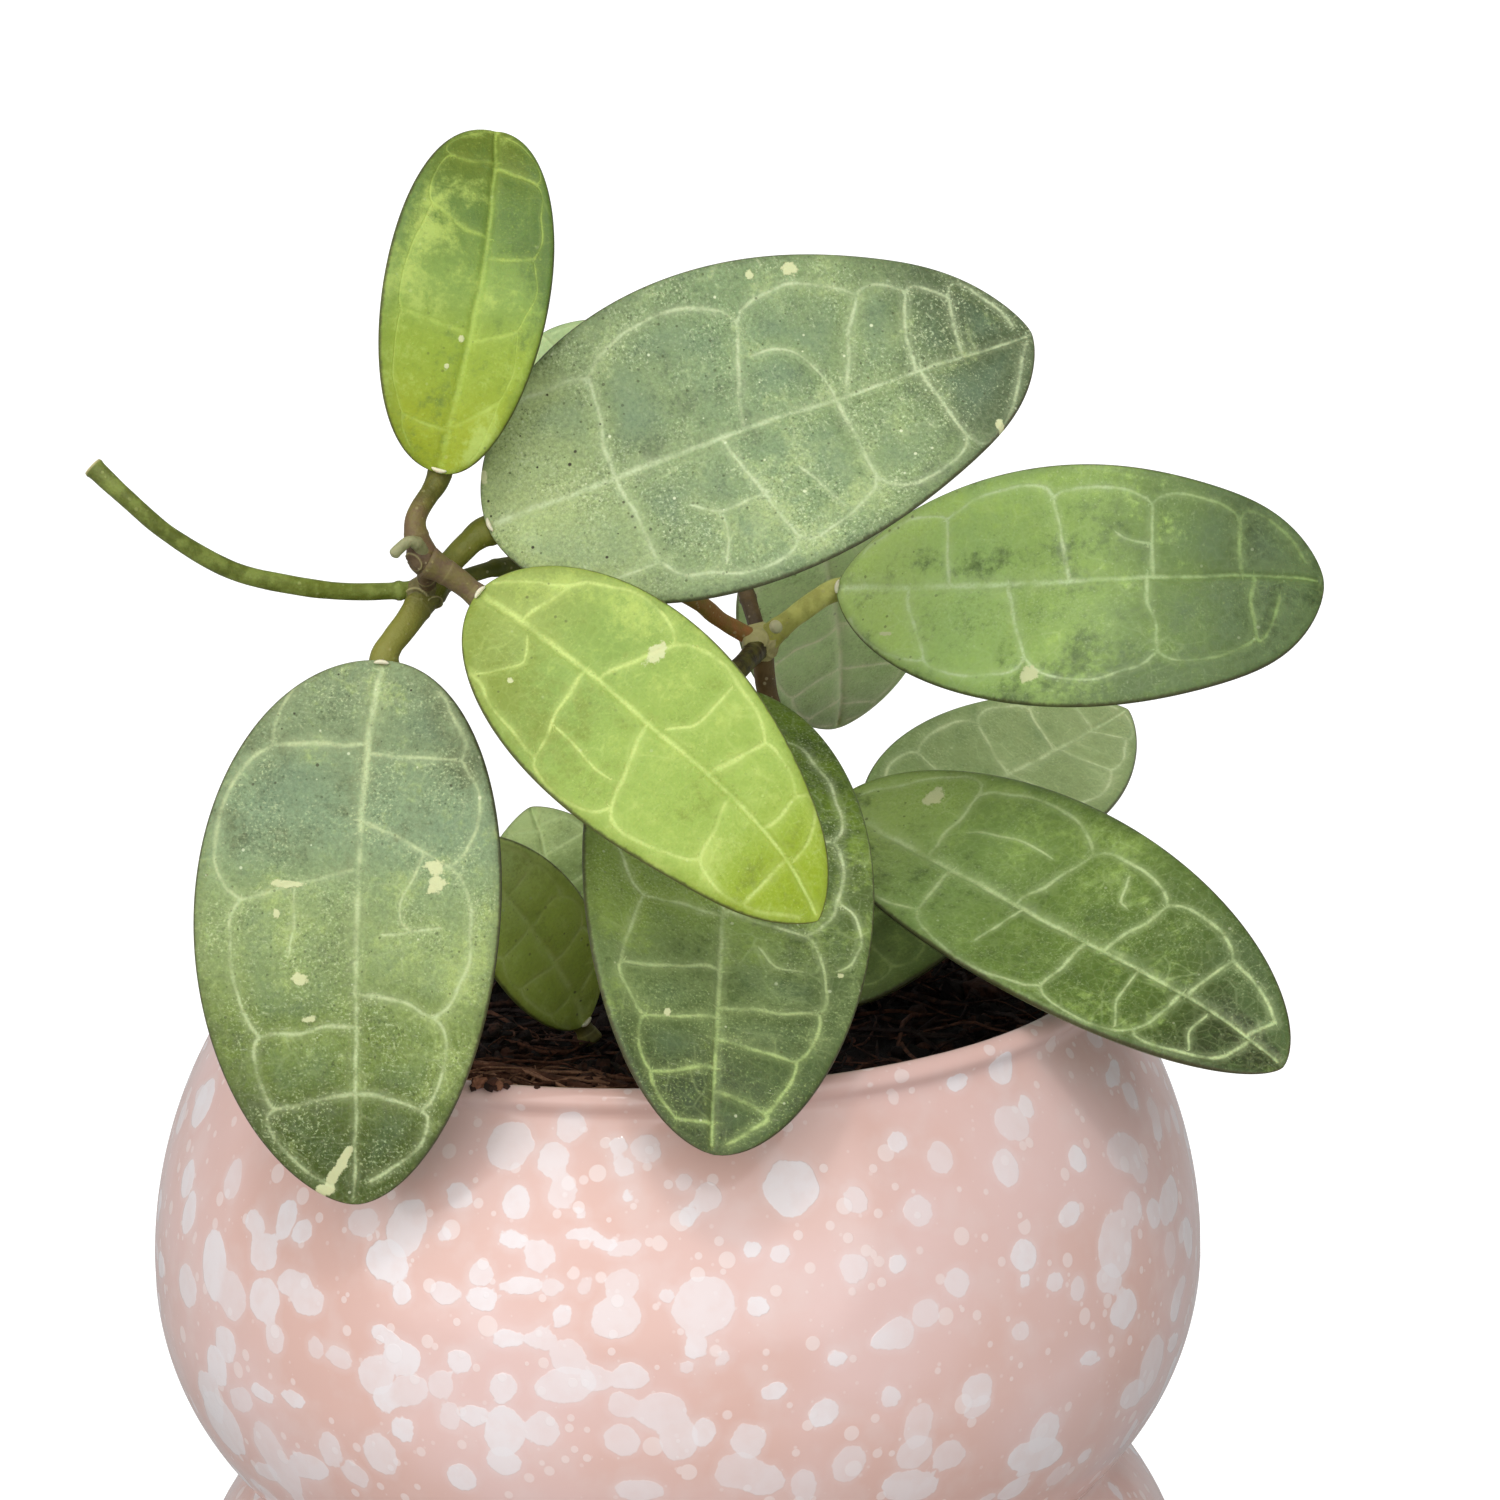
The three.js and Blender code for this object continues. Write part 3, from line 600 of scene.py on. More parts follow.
HUSK_STRANDS = [([(-34, -32), (-28, -38.6), (-22, -42.6), (-16, -45.4)], 0.8),
                ([(-30, -26), (-23.5, -31), (-16, -34.6), (-8, -38)], 0.7)]
for number, (route, thick) in enumerate(HUSK_STRANDS, 1):
    route = smooth_path(route, 70)
    path = np.column_stack([route, medium_height(route[:, 0], route[:, 1]) + thick + 0.6])
    share = np.linspace(-1, 1, 70)
    radii = thick * (0.75 + 0.3 * bumpy(share * 30, share, 2.0, 70 + number)) * np.sqrt(1.003 - share ** 6)
    points, faces, _ = tube(path, radii, 14)
    add_piece(f"husk_strand_{number}", points, faces, strand_stuff, "husk", f"husk_fibre_{number}",
              shade=0.3 + 0.5 * bumpy(points[:, 0] * 0.3, points[:, 2] * 3, 0.8, 80 + number))

# The stems and joints
# Woody main stem, the long thin vine, the leafless runner with its cut end, short shoots, and the swollen
# joints that leaves leave from, with the pale rings of old leaf scars. They grow out of one another.

JOINTS = dict(low=((19, 0.5, 132.3), 2.2), middle=((12.4, 0.5, 154), 2.4), back=((8, 8, 168), 1.8),
              front=((-25.3, -35, 168.9), 2.5), shoot=((-25.3, -43, 173.9), 2.1))
LOW, MIDDLE, BACK, FRONT, SHOOT = (centre for centre, _ in JOINTS.values())
SKIN_GIVES = dict(Color="Color", Roughness="Float", Height="Float")

stem_skin, given = new_group(
    "stem skin", dict(Skin=(0.2, 0.2, 0.1, 1.0), Streak=(0.3, 0.3, 0.1, 1.0), Fleck=(0.6, 0.6, 0.4, 1.0), Mottle=0.5),
    **SKIN_GIVES)
place = millimetres()
patchy = cloud(place, 1.9, 4.0, 0.6)
pores = specks(place, 0.9, 0.5, 0.24, 0.5)
skin = blend(fade(patchy, 0.38, 0.66) * given["Mottle"], given["Skin"], given["Streak"])
skin = blend(pores * 0.4, skin, given["Fleck"])
skin = blend(specks(place, 1.3, 0.3, 0.14, 0.5) * 0.4, skin, "#2e2417")
give_out(Color=skin, Roughness=fade(patchy, 0.3, 0.7, 0.42, 0.6), Height=cloud(place, 0.35, 3.0) * 0.12 + pores * 0.05)


def along_piece(stops):
    """A colour that changes along a piece, by stops written as a share along and a colour code."""
    share = carried("share_along")
    places, codes = list(map(float, stops.split()[::2])), stops.split()[1::2]
    shown = colour(codes[0])
    for start, end, code in zip(places, places[1:], codes[1:]):
        shown = blend(fade(share, start, end), shown, code)
    return shown


def stem_material(name, stops, streak, fleck="#b9ad86", mottle=0.55):
    """Stem skin whose colour changes along the piece by the given stops, with pale cut or gland faces."""
    material = new_material(name)
    skin = put("Group", node_tree=stem_skin, sockets=dict(
        Skin=along_piece(stops), Streak=streak, Fleck=fleck, Mottle=mottle))
    pale = carried("pale")
    shown = blend(fade(pale, 0.1, 0.5, 0.0, 0.8), skin["Color"], "#a39c6a")
    shown = blend(fade(pale, 0.6, 0.95), shown, "#d6d1b4")
    return finish_material(material, shown, skin["Roughness"], skin["Height"], 0.8, Subsurface_Weight=0.06,
                           Subsurface_Scale=0.001, Specular_IOR_Level=0.3)


def ridge_at(each, place, width, height):
    """A rounded ridge round a tube: height times exp of minus the distance along from its place, over its width,
    squared."""
    return height * np.exp(-((each - place) / width) ** 2)


def add_stem(name, node, route, radius, material, slot="stem", sides=28, per_mm=3.2, ends=(0.0, 0.0), ridges=(),
             pale=(), cut=False, wander=0.06, girth=((0, 1), (1, 1)), glands=None):
    """A stem along a smooth path: the radius, wandering a little at random and times the girth at each share
    along, plus swellings exp(-(distance / 1.6)^2) at each end and the given ridges; a place
    below zero is measured from the far end. Its ends are rounded, or flat
    where it was cut. Glands are small cream cushions given as points and faces."""
    path = smooth_path(route, 200)
    steps = way_along(path)
    each = np.linspace(0, steps[-1], int(max(24, steps[-1] * per_mm)))
    path = np.stack([np.interp(each, steps, path[:, axis]) for axis in range(3)], -1)
    length = each[-1]
    seed = sum(map(ord, name))
    radii = radius * (1 + wander * 2 * (bumpy(each, each * 0, 2.3, seed) - 0.5))
    radii = radii * np.interp(each / length, *np.array(girth, float).T)
    radii = radii + ends[0] * np.exp(-(each / 1.6) ** 2) + ends[1] * np.exp(-((length - each) / 1.6) ** 2)
    for at, wide, high in ridges:
        radii = radii + ridge_at(each, at % length, wide, high)
    close = 1.0
    for left in (each,) if cut else (each, length - each):
        close = close * np.sqrt(np.clip(1 - (1 - np.minimum(left / 0.5, 1)) ** 2, 0.02, 1))
    uneven = 1 + 0.05 * np.sin(2 * round_way(sides) + seed + each[:, None] * 0.25)
    points, faces, along = tube(path, (radii * close)[:, None] * uneven, sides)
    light = np.zeros(len(points))
    for at, wide in pale:
        light = np.maximum(light, ridge_at(along, at % length, wide, 0.45))
    share = along / length
    if cut:
        light[-1 - sides:] = 1.0
    if glands is not None:
        faces = faces + [f + len(points) for f in glands[1]]
        points = np.vstack([points, glands[0]])
        light, share = (np.append(a, np.ones(len(glands[0]))) for a in (light, share))
    add_piece(name, points, faces, material, slot, node, share_along=share, pale=light)


OLD_WOOD = stem_material("stem old brown", "0 #463820 1 #513f1e", "#695530")
# The vine's start is its own reddish brown, painted lighter against the shade of the leaf above it.
VINE_WOOD = stem_material("vine brown to olive", "0 #a0683a 0.2 #86602f 0.5 #5b5c1c 1 #454c15", "#706f2d")
RUNNER_SKIN = stem_material("runner olive", "0 #5a6420 0.3 #5f6a1e 0.6 #545e1a 1 #5d6628", "#849244", "#98a05f", 0.6)
SHOOT_SKIN = stem_material("shoot brown", "0 #4f4026 1 #54402c", "#75634a")
TIP_SKIN = stem_material("tip grey green", "0 #5f5b38 0.5 #7b7b55 1 #888a64", "#98976f")

add_stem("main_stem_low_wood", "main_stem_lower", [(12, -2, 106.2), (13.6, -1.2, 114.4), (16.6, -0.6, 123), LOW],
         1.25, OLD_WOOD, ends=(0.5, 0.5), ridges=[(9, 0.5, 0.18), (18, 0.45, 0.15)])
add_stem("main_stem_high_wood", "main_stem_upper", [LOW, (15.6, 1.6, 140), (13.1, 1.4, 147), MIDDLE], 1.25, OLD_WOOD,
         ends=(0.5, 0.5), ridges=[(11, 0.4, 0.16)])
add_stem("vine_long", "long_vine", [MIDDLE, (7.6, -3, 157.7), (4.6, -6, 160.8), (-1.8, -13, 165.3), (-10.5, -22, 169),
                                    (-17.4, -29.4, 170.2), FRONT],
         1.0, VINE_WOOD, ends=(0.5, 0.55), ridges=[(24, 0.4, 0.14), (-9, 0.5, 0.12)])
add_stem("branch_to_back", "back_branch", [MIDDLE, (10.9, 3.6, 159), (9.4, 6.6, 163.4), BACK], 1.0, OLD_WOOD,
         ends=(0.6, 0.4), ridges=[(6, 0.4, 0.12)])
add_stem("shoot_short", "side_shoot", [FRONT, (-25.3, -39, 171.2), SHOOT], 1.0, SHOOT_SKIN, ends=(0.9, 0.7),
         ridges=[(4.6, 0.3, 0.2)], pale=[(4.6, 0.2)])
add_stem("runner_bare", "runner", [FRONT, (-34.1, -38, 169.5), (-40.6, -41, 171.1), (-47, -43, 173.4),
                                   (-53.3, -45, 177.9), (-57.9, -46, 182.5), (-61.5, -45, 185.9)],
         1.02, RUNNER_SKIN, "stalk", ends=(0.7, 0.02), ridges=[(3.6, 0.4, 0.2), (-0.35, 0.25, 0.1)],
         pale=[(-0.1, 0.25)], cut=True, wander=0.035)
add_stem("tip_hooked", "growing_tip", [SHOOT, (-25.7, -44.9, 176.0), (-26.7, -45.6, 176.5), (-27.8, -46.1, 175.8),
                                       (-28.6, -46.3, 175.0)],
         0.66, TIP_SKIN, "stalk", sides=20, per_mm=8, ends=(0.4, 0.0), ridges=[(3.2, 0.2, 0.1)])

KNOT = (60, 88)
SCAR_AT = 0.86


def add_joint(key, towards, material, scars):
    """A swollen joint: a ball with a rounded stub towards every stem, so its radius in a direction is 0.74 of the
    joint's, plus 0.42 of it times the sum of exp(6.5 (cosine to that stem - 1)), a slow bumpiness, and a raised pale
    ring round each scar where the cosine to it is 0.86."""
    centre, radius = JOINTS[key]
    ball = unit_ball(*KNOT)
    reach = radius * (0.74 + 0.14 * bumpy(ball[:, 0] * 2 + ball[:, 2], ball[:, 1] * 2 - ball[:, 2], 0.8, 90 + len(key)))
    for end in towards:
        aim = np.array(end) - centre
        reach = reach + 0.42 * radius * np.exp(6.5 * (ball @ (aim / np.linalg.norm(aim)) - 1))
    light = np.zeros(len(ball))
    for scar in scars:
        facing = ball @ (np.array(scar) / np.linalg.norm(scar))
        lip = np.exp(-((facing - SCAR_AT) / 0.032) ** 2)
        reach = reach + radius * (0.07 * lip + 0.04 * (facing > SCAR_AT))
        light = np.maximum(light, 0.42 * lip)
    add_piece(f"knot_{key}", centre + ball * reach[:, None], tube_faces(*KNOT), material, "stem", f"joint_{key}",
              share_along=(ball[:, 2] + 1) / 2, pale=light)


KNOT_BROWN = stem_material("joint brown", "0 #4f3f2b 1 #665038", "#84704f")
KNOT_OLIVE = stem_material("joint olive", "0 #7a7040 1 #aca66c", "#c0b881")
KNOT_SHOOT = stem_material("joint dark olive", "0 #494722 1 #5e5632", "#7d754b")
add_joint("low", [(16.6, -0.6, 123), (15.6, 1.6, 140), (22, -1, 134), (24, 5, 130)], KNOT_BROWN, [(-1, -0.6, 0.1)])
add_joint("middle", [(13.1, 1.4, 147), (10, -2, 156), (10.9, 3.6, 159), (17.2, 0.1, 157.8), (9.8, -5, 152.3)],
          KNOT_OLIVE, [(-0.2, -1, 0.5), (0.9, -0.8, -0.3), (-1, -0.5, 0.1)])
add_joint("back", [(9.4, 6.6, 163.4), (13, 11, 170.2), (4, 11, 169)], KNOT_BROWN, [(0.2, -1, 0.2)])
add_joint("front", [(-17.4, -29.4, 170.2), (-34.1, -38, 169.5), (-27.6, -38.2, 166), (-21.9, -36.7, 172.3), SHOOT],
          KNOT_SHOOT, [(-0.6, -1, -0.35), (0.3, -1, -0.9)])
add_joint("shoot", [FRONT, (-22.3, -42.5, 171.9), (-26.1, -42, 178.2), (-27.6, -45.2, 176.4)], SHOOT_SKIN,
          [(-0.7, -1, -0.1)])

BUD = dict(place=(14.2, -2.6, 156.6), aim=(-0.25, -0.55, 0.5), length=2.6, radius=0.78, sides=24)
bud_way = np.linspace(0, BUD["length"], 30)
bud_path = np.array(BUD["place"]) + np.array(BUD["aim"]) * (bud_way[:, None] - 1.1)
bud_radii = BUD["radius"] * np.sqrt(np.maximum(np.sin(np.pi * (bud_way / BUD["length"]) ** 0.8), 0.002))
points, faces, along = tube(bud_path, bud_radii, BUD["sides"])
add_piece("bud_in_axil", points, faces, stem_material("bud pale", "0 #8b8a5a 1 #cfcda4", "#d8d6b2"), "stalk",
          "axil_bud", share_along=along / along[-1], pale=0.3 * along / along[-1])

# The leaf stalks
# One short thick stalk to each leaf, with a swollen foot, a pale ring where it leaves the joint, and a cream gland
# where it runs into the leaf's midrib.

# Each blade: where it starts and ends, the way it faces, its width, how its midrib arches up and sways aside,
# the powers that its outline starts and ends with, how lopsided it is, its twist in degrees, how blunt its tip is.
BLADE_FACTS = "base tip faces width arch sway root end lop twist blunt".split()
BLADES = {key: dict(zip(BLADE_FACTS, facts)) for key, facts in dict(
    hanging_left=((-30.5, -42, 162.3), (-35.5, -57, 103), (-0.17, -0.95, 0.25), 35.3, 4, 0, 0.5, 0.59, 0.06, -1, 0),
    broad_top=((-18.4, -36, 176.1), (44.4, -22, 194.5), (0.02, -0.82, 0.57), 39.5, 4, 0, 0.55, 0.69, 0.04, 7.5, 0.16),
    lime_front=((-19.3, -43.5, 170.1), (17.6, -62, 135.9), (-0.08, -0.85, 0.52), 25, 5.5, -2, 0.57, 0.75, 0.09, -3.5,
                0.22),
    upright=((-23.5, -39, 183), (-16.5, -20.1, 219.1), (0.11, -0.9, 0.42), 18.8, 4, 1, 0.45, 0.46, -0.13, -9, 0),
    right_side=((21.7, 0, 160.7), (79.1, -14, 162.5), (-0.21, -0.82, 0.53), 30.6, 6.5, 1.8, 0.68, 0.62, 0.08, 0, 0.18),
    over_rim_front=((7.5, -9, 151.1), (5.4, -67.8, 111.15), (0.28, -0.56, 0.78), 34.5, 4.5, -0.5, 0.5, 0.53, 0.05, 0,
                    0),
    over_rim_right=((20.6, -4.5, 135), (71, -42, 111.4), (0, -0.53, 0.85), 30.3, 2, 0, 0.49, 0.61, -0.1, -7.5, 0),
    back_right=((26.3, 9, 126), (60.8, 50, 133.1), (0.29, -0.4, 0.87), 26, 0.5, 0.6, 0.57, 0.8, 0.04, -9, 0),
    back_middle=((18.6, 14, 168.7), (22.1, 38, 134.4), (0.34, -0.79, -0.52), 26.7, 1, -1.5, 0.42, 0.66, 0, 2, 0),
    back_top=((3.7, 12, 169.1), (-14.4, 36, 187.3), (-0.39, -0.72, 0.57), 25, 1, 0.2, 0.47, 0.73, 0, 1.5, 0),
    low_back=((-13.2, 8, 109.8), (-17.6, 26, 128), (-0.08, -0.74, 0.67), 21, 1, 0.8, 0.42, 0.75, 0, 0, 0),
    low_left=((-10.3, -10, 109.6), (-24.3, -24, 136.8), (0.5, -0.83, 0.1), 15, 1, 0.8, 0.6, 0.68, 0, 10, 0),
    low_right=((14.8, 6, 110), (40.3, 14, 117.2), (-0.18, -0.55, 0.81), 26.5, 5, -0.2, 0.42, 0.72, 0, 3.5, 0)).items()}


def half_width(blade, s):
    """The blade's half width in mm at shares s along it: width / 2 times (s/m)^root ((1 - s)/(1 - m))^end with
    m = root / (root + end), made blunter at the tip by 1 + blunt exp(-((1 - s) / 0.15)^2)."""
    root, end = blade["root"], blade["end"]
    m = root / (root + end)
    s = np.clip(s, 1e-4, 0.9999)
    outline = (s / m) ** root * ((1 - s) / (1 - m)) ** end
    return blade["width"] / 2 * outline * (1 + blade["blunt"] * np.exp(-((1 - s) / 0.15) ** 2))


def blade_spine(blade, s):
    """At shares s along the blade: the midrib, the direction across it and the upward one. With c from base to tip
    the midrib is base + c s + (up arch + across sway) 4s(1 - s), and both directions are turned by
    twist (s - 0.5)."""
    run = np.array(blade["tip"], float) - blade["base"]
    ahead = run / np.linalg.norm(run)
    up = np.array(blade["faces"], float)
    up -= ahead * (up @ ahead)
    up /= np.linalg.norm(up)
    across = np.cross(ahead, up)
    bend = up * blade["arch"] + across * blade["sway"]
    spine = np.array(blade["base"]) + run * s[:, None] + (4 * s * (1 - s))[:, None] * bend
    tangent = run + (4 * (1 - 2 * s))[:, None] * bend
    tangent /= np.linalg.norm(tangent, axis=1)[:, None]
    turn = np.radians(blade["twist"]) * (s - 0.5)
    edge = np.cos(turn)[:, None] * across + np.sin(turn)[:, None] * up
    edge -= tangent * np.sum(edge * tangent, 1)[:, None]
    edge /= np.linalg.norm(edge, axis=1)[:, None]
    return spine, edge, np.cross(edge, tangent)


# Each stalk: its radius, where it starts, what it passes, and its colour along it.
STALKS = dict(
    hanging_left=(1.45, FRONT, [(-27.6, -38.2, 166)], "0 #4d4a1c 0.3 #78782f 1 #827f3e"),
    broad_top=(1.5, FRONT, [(-22.5, -36.8, 172.5)], "0 #515512 0.4 #606418 1 #6c7028"),
    lime_front=(1.4, SHOOT, [(-22.3, -42.5, 171.9)], "0 #65513e 0.5 #735f4a 1 #706048"),
    upright=(1.25, SHOOT, [(-26.1, -42, 178.2)], "0 #604a35 0.2 #6a563a 0.4 #504f18 1 #4d5018"),
    right_side=(1.35, MIDDLE, [(17.2, 0.1, 157.8)], "0 #9f9d48 0.3 #b5b661 1 #bcbf6c"),
    over_rim_front=(1.25, MIDDLE, [(9.8, -5, 152.3)], "0 #332911 1 #423e16"),
    over_rim_right=(1.25, LOW, [], "0 #423e16 1 #585b21"),
    back_right=(1.25, LOW, [(23, 5.2, 129.6)], "0 #423e16 1 #585b21"),
    back_middle=(1.2, BACK, [(13, 11, 170.2)], "0 #4a4419 1 #5f6026"),
    back_top=(1.1, BACK, [], "0 #5d5720 1 #7c7c33"),
    low_back=(1.1, (-13, 5.9, 106.3), [], "0 #48441b 1 #5f6026"),
    low_left=(1.1, (-9.5, -8.7, 106.7), [], "0 #48441b 1 #5f6026"),
    low_right=(1.1, (12.1, 6.2, 106.6), [], "0 #48441b 1 #5f6026"))
UNDER_BLADE = 9.5
GLAND = (10, 18)

for key, (radius, start, route, stops) in STALKS.items():
    blade = BLADES[key]
    length = float(np.linalg.norm(np.array(blade["tip"]) - blade["base"]))
    spine, edge, upward = blade_spine(blade, np.array([0.0, 1.4, 3.2, 6.0, 9.0]) / length)
    ahead = np.cross(upward, edge)[0]
    depth = [0.35 + share * radius for share in (1.4, 1.2, 0.85, 0.7)]
    path = [start, *route, tuple(spine[0] - 1.2 * ahead - 0.75 * radius * upward[0]),
            *(tuple(place - down * n) for place, n, down in zip(spine[1:], upward[1:], depth))]
    total = float(way_along(smooth_path(path, 400))[-1])
    neck = (total - UNDER_BLADE) / total
    girth = [(0, 1.22), (0.5 * neck, 1.0), (0.75 * neck, 0.96), (neck, 1.2), (neck + (1 - neck) * 0.4, 0.85), (1, 0.35)]
    ball = unit_ball(*GLAND) * np.array([0.9, 0.26, 0.3])
    ball[:, 1] += 0.15 * (ball[:, 0] / 0.9) ** 2
    gland = spine[0] + 0.3 * ahead + 0.4 * upward[0] + ball @ np.stack([edge[0], ahead, upward[0]])
    skin = stem_material("stalk " + key.replace("_", " "), stops, "#77752f", "#9a9662", 0.45)
    ridge = 3.0 if total - UNDER_BLADE > 6 else 1.5
    add_stem(f"leafstalk_{key}", f"stalk_{key}", path, radius, skin, "stem" if key == "lime_front" else "stalk",
             ends=(0.3, 0.0), ridges=[(ridge, 0.24, 0.1)], pale=[(ridge, 0.16)], wander=0.05, girth=girth,
             glands=(gland, tube_faces(*GLAND)))

# The leaves
# Thirteen thick, waxy oval blades, grey-green when old and lime when young, each with a sunk midrib, pale
# side veins that join in loops inside the margin, and a thin dark edge. Each grows out of its stalk.

THICK = 0.7
FOLD = np.tan(np.radians(6))
LOOP_HALF = 0.19


def rows(text):
    """Rows of numbers, parted by commas and written in hundredths."""
    return [tuple(float(number) / 100 for number in row.split()) for row in text.split(",") if row.strip()]


# Veins of each leaf: how far the midrib strays aside at three places; the half width of its loops in mm; then the
# veins by side, -1 or 1. A row of two is where the outer loop starts, as the share along and the share out to the
# margin; a row of four is a side vein's root along the midrib, its corner along and out, and how far out the loop
# before it bows; a row of three ends the loops. Last come lines through points along and out.
USUAL = rows("5 80, 14 18 70 82, 32 36 70 82, 50 54 70 82, 68 72 70 82, 84 87 68 80, 97 40 80")
VEINS = {key: dict(rib=rows(rib)[0], loop=loop, sides={side: rows(text) for side, text in sides.items()},
                   extras=[rows(line) for line in extras]) for key, (rib, loop, sides, extras) in dict(
    hanging_left=("3 1 -4", LOOP_HALF, {
        1: "5 95, 16 17 76 88, 39 45 73 93, 67 70 66 78, 79 83 70 74, 97 46 80",
        -1: "6 90, 18 18 80 90, 30 37 60 85, 61 64 62 80, 79 81 68 79, 95 40 78"},
        ["35 -41, 43 -29, 47 -29, 49 -36, 50 -16", "49 -36, 48 -56", "42 40, 54 42"]),
    broad_top=("5 7 10", LOOP_HALF, {
        -1: "10 90, 23 25 63 77, 46 52 60 79, 65 73 62 76, 77 81 65 71, 86 88 57 72, 97 30 85",
        1: "13 86, 23 24 71 77, 42 47 81 90, 63 63 67 83, 78 80 80 90, 98 30 92"},
        ["52 -35, 56 -35, 60 -27, 62 -13, 63 5", "37 50, 36 65, 34 82", "45 49, 37 50, 33 40", "52 43, 54 57, 56 73"]),
    lime_front=("3 2 -16", LOOP_HALF, {
        -1: "2 60, 12 17 68 60, 34 41 69 90, 64 67 74 90, 79 79 77 84, 88 25 92",
        1: "13 92, 30 36 86 90, 48 56 78 96, 70 76 64 86, 87 88 84 80, 97 55 78"},
        ["52 -6, 55 -30, 55 -54, 55 -82", "16 13, 19 33, 19 44, 16 71, 13 94", "35 58, 41 59, 47 60, 51 58"]),
    upright=("0 2 2", 0.09, {
        -1: "5 80, 11 13 76 80, 38 40 78 84, 65 72 68 80, 88 88 71 78, 98 40 80",
        1: "5 70, 12 21 66 70, 36 40 63 70, 59 61 68 76, 86 83 72 82, 97 40 82"},
        []),
    right_side=("7 2 -5", 0.17, {
        -1: "6 85, 26 24 67 85, 50 47 70 83, 67 67 67 79, 84 84 66 82, 97 45 80",
        1: "5 93, 17 23 82 93, 38 43 65 86, 66 68 62 80, 86 86 65 77, 91 20 62"},
        ["60 -40, 63 -33, 67 -30"]),
    over_rim_front=("5 6 9", LOOP_HALF, {
        1: "8 90, 25 30 75 88, 57 57 61 83, 68 71 80 72, 77 80 67 80, 86 89 76 78, 95 96 77 80",
        -1: "12 16 62 0, 36 39 70 80, 56 59 52 76, 75 74 70 70, 81 83 65 76, 90 92 56 68, 98 30 60"},
        ["51 -73, 54 -84, 58 -89, 63 -90, 65 -80", "63 -22, 66 -34, 66 -50"]),
    over_rim_right=("12 6 -5", LOOP_HALF, {
        -1: "4 39, 23 22 71 84, 43 47 64 86, 62 65 63 76, 79 81 66 77, 92 94 69 68",
        1: "20 97, 29 31 74 90, 58 59 73 98, 78 77 75 95, 93 92 60 88"},
        ["26 -32, 30 -41, 35 -46, 41 -45", "55 -65, 57 -46, 59 -43", "45 8, 44 37, 44 64",
         "69 1, 70 31, 71 53, 74 79", "84 6, 84 41, 86 75"])).items()}

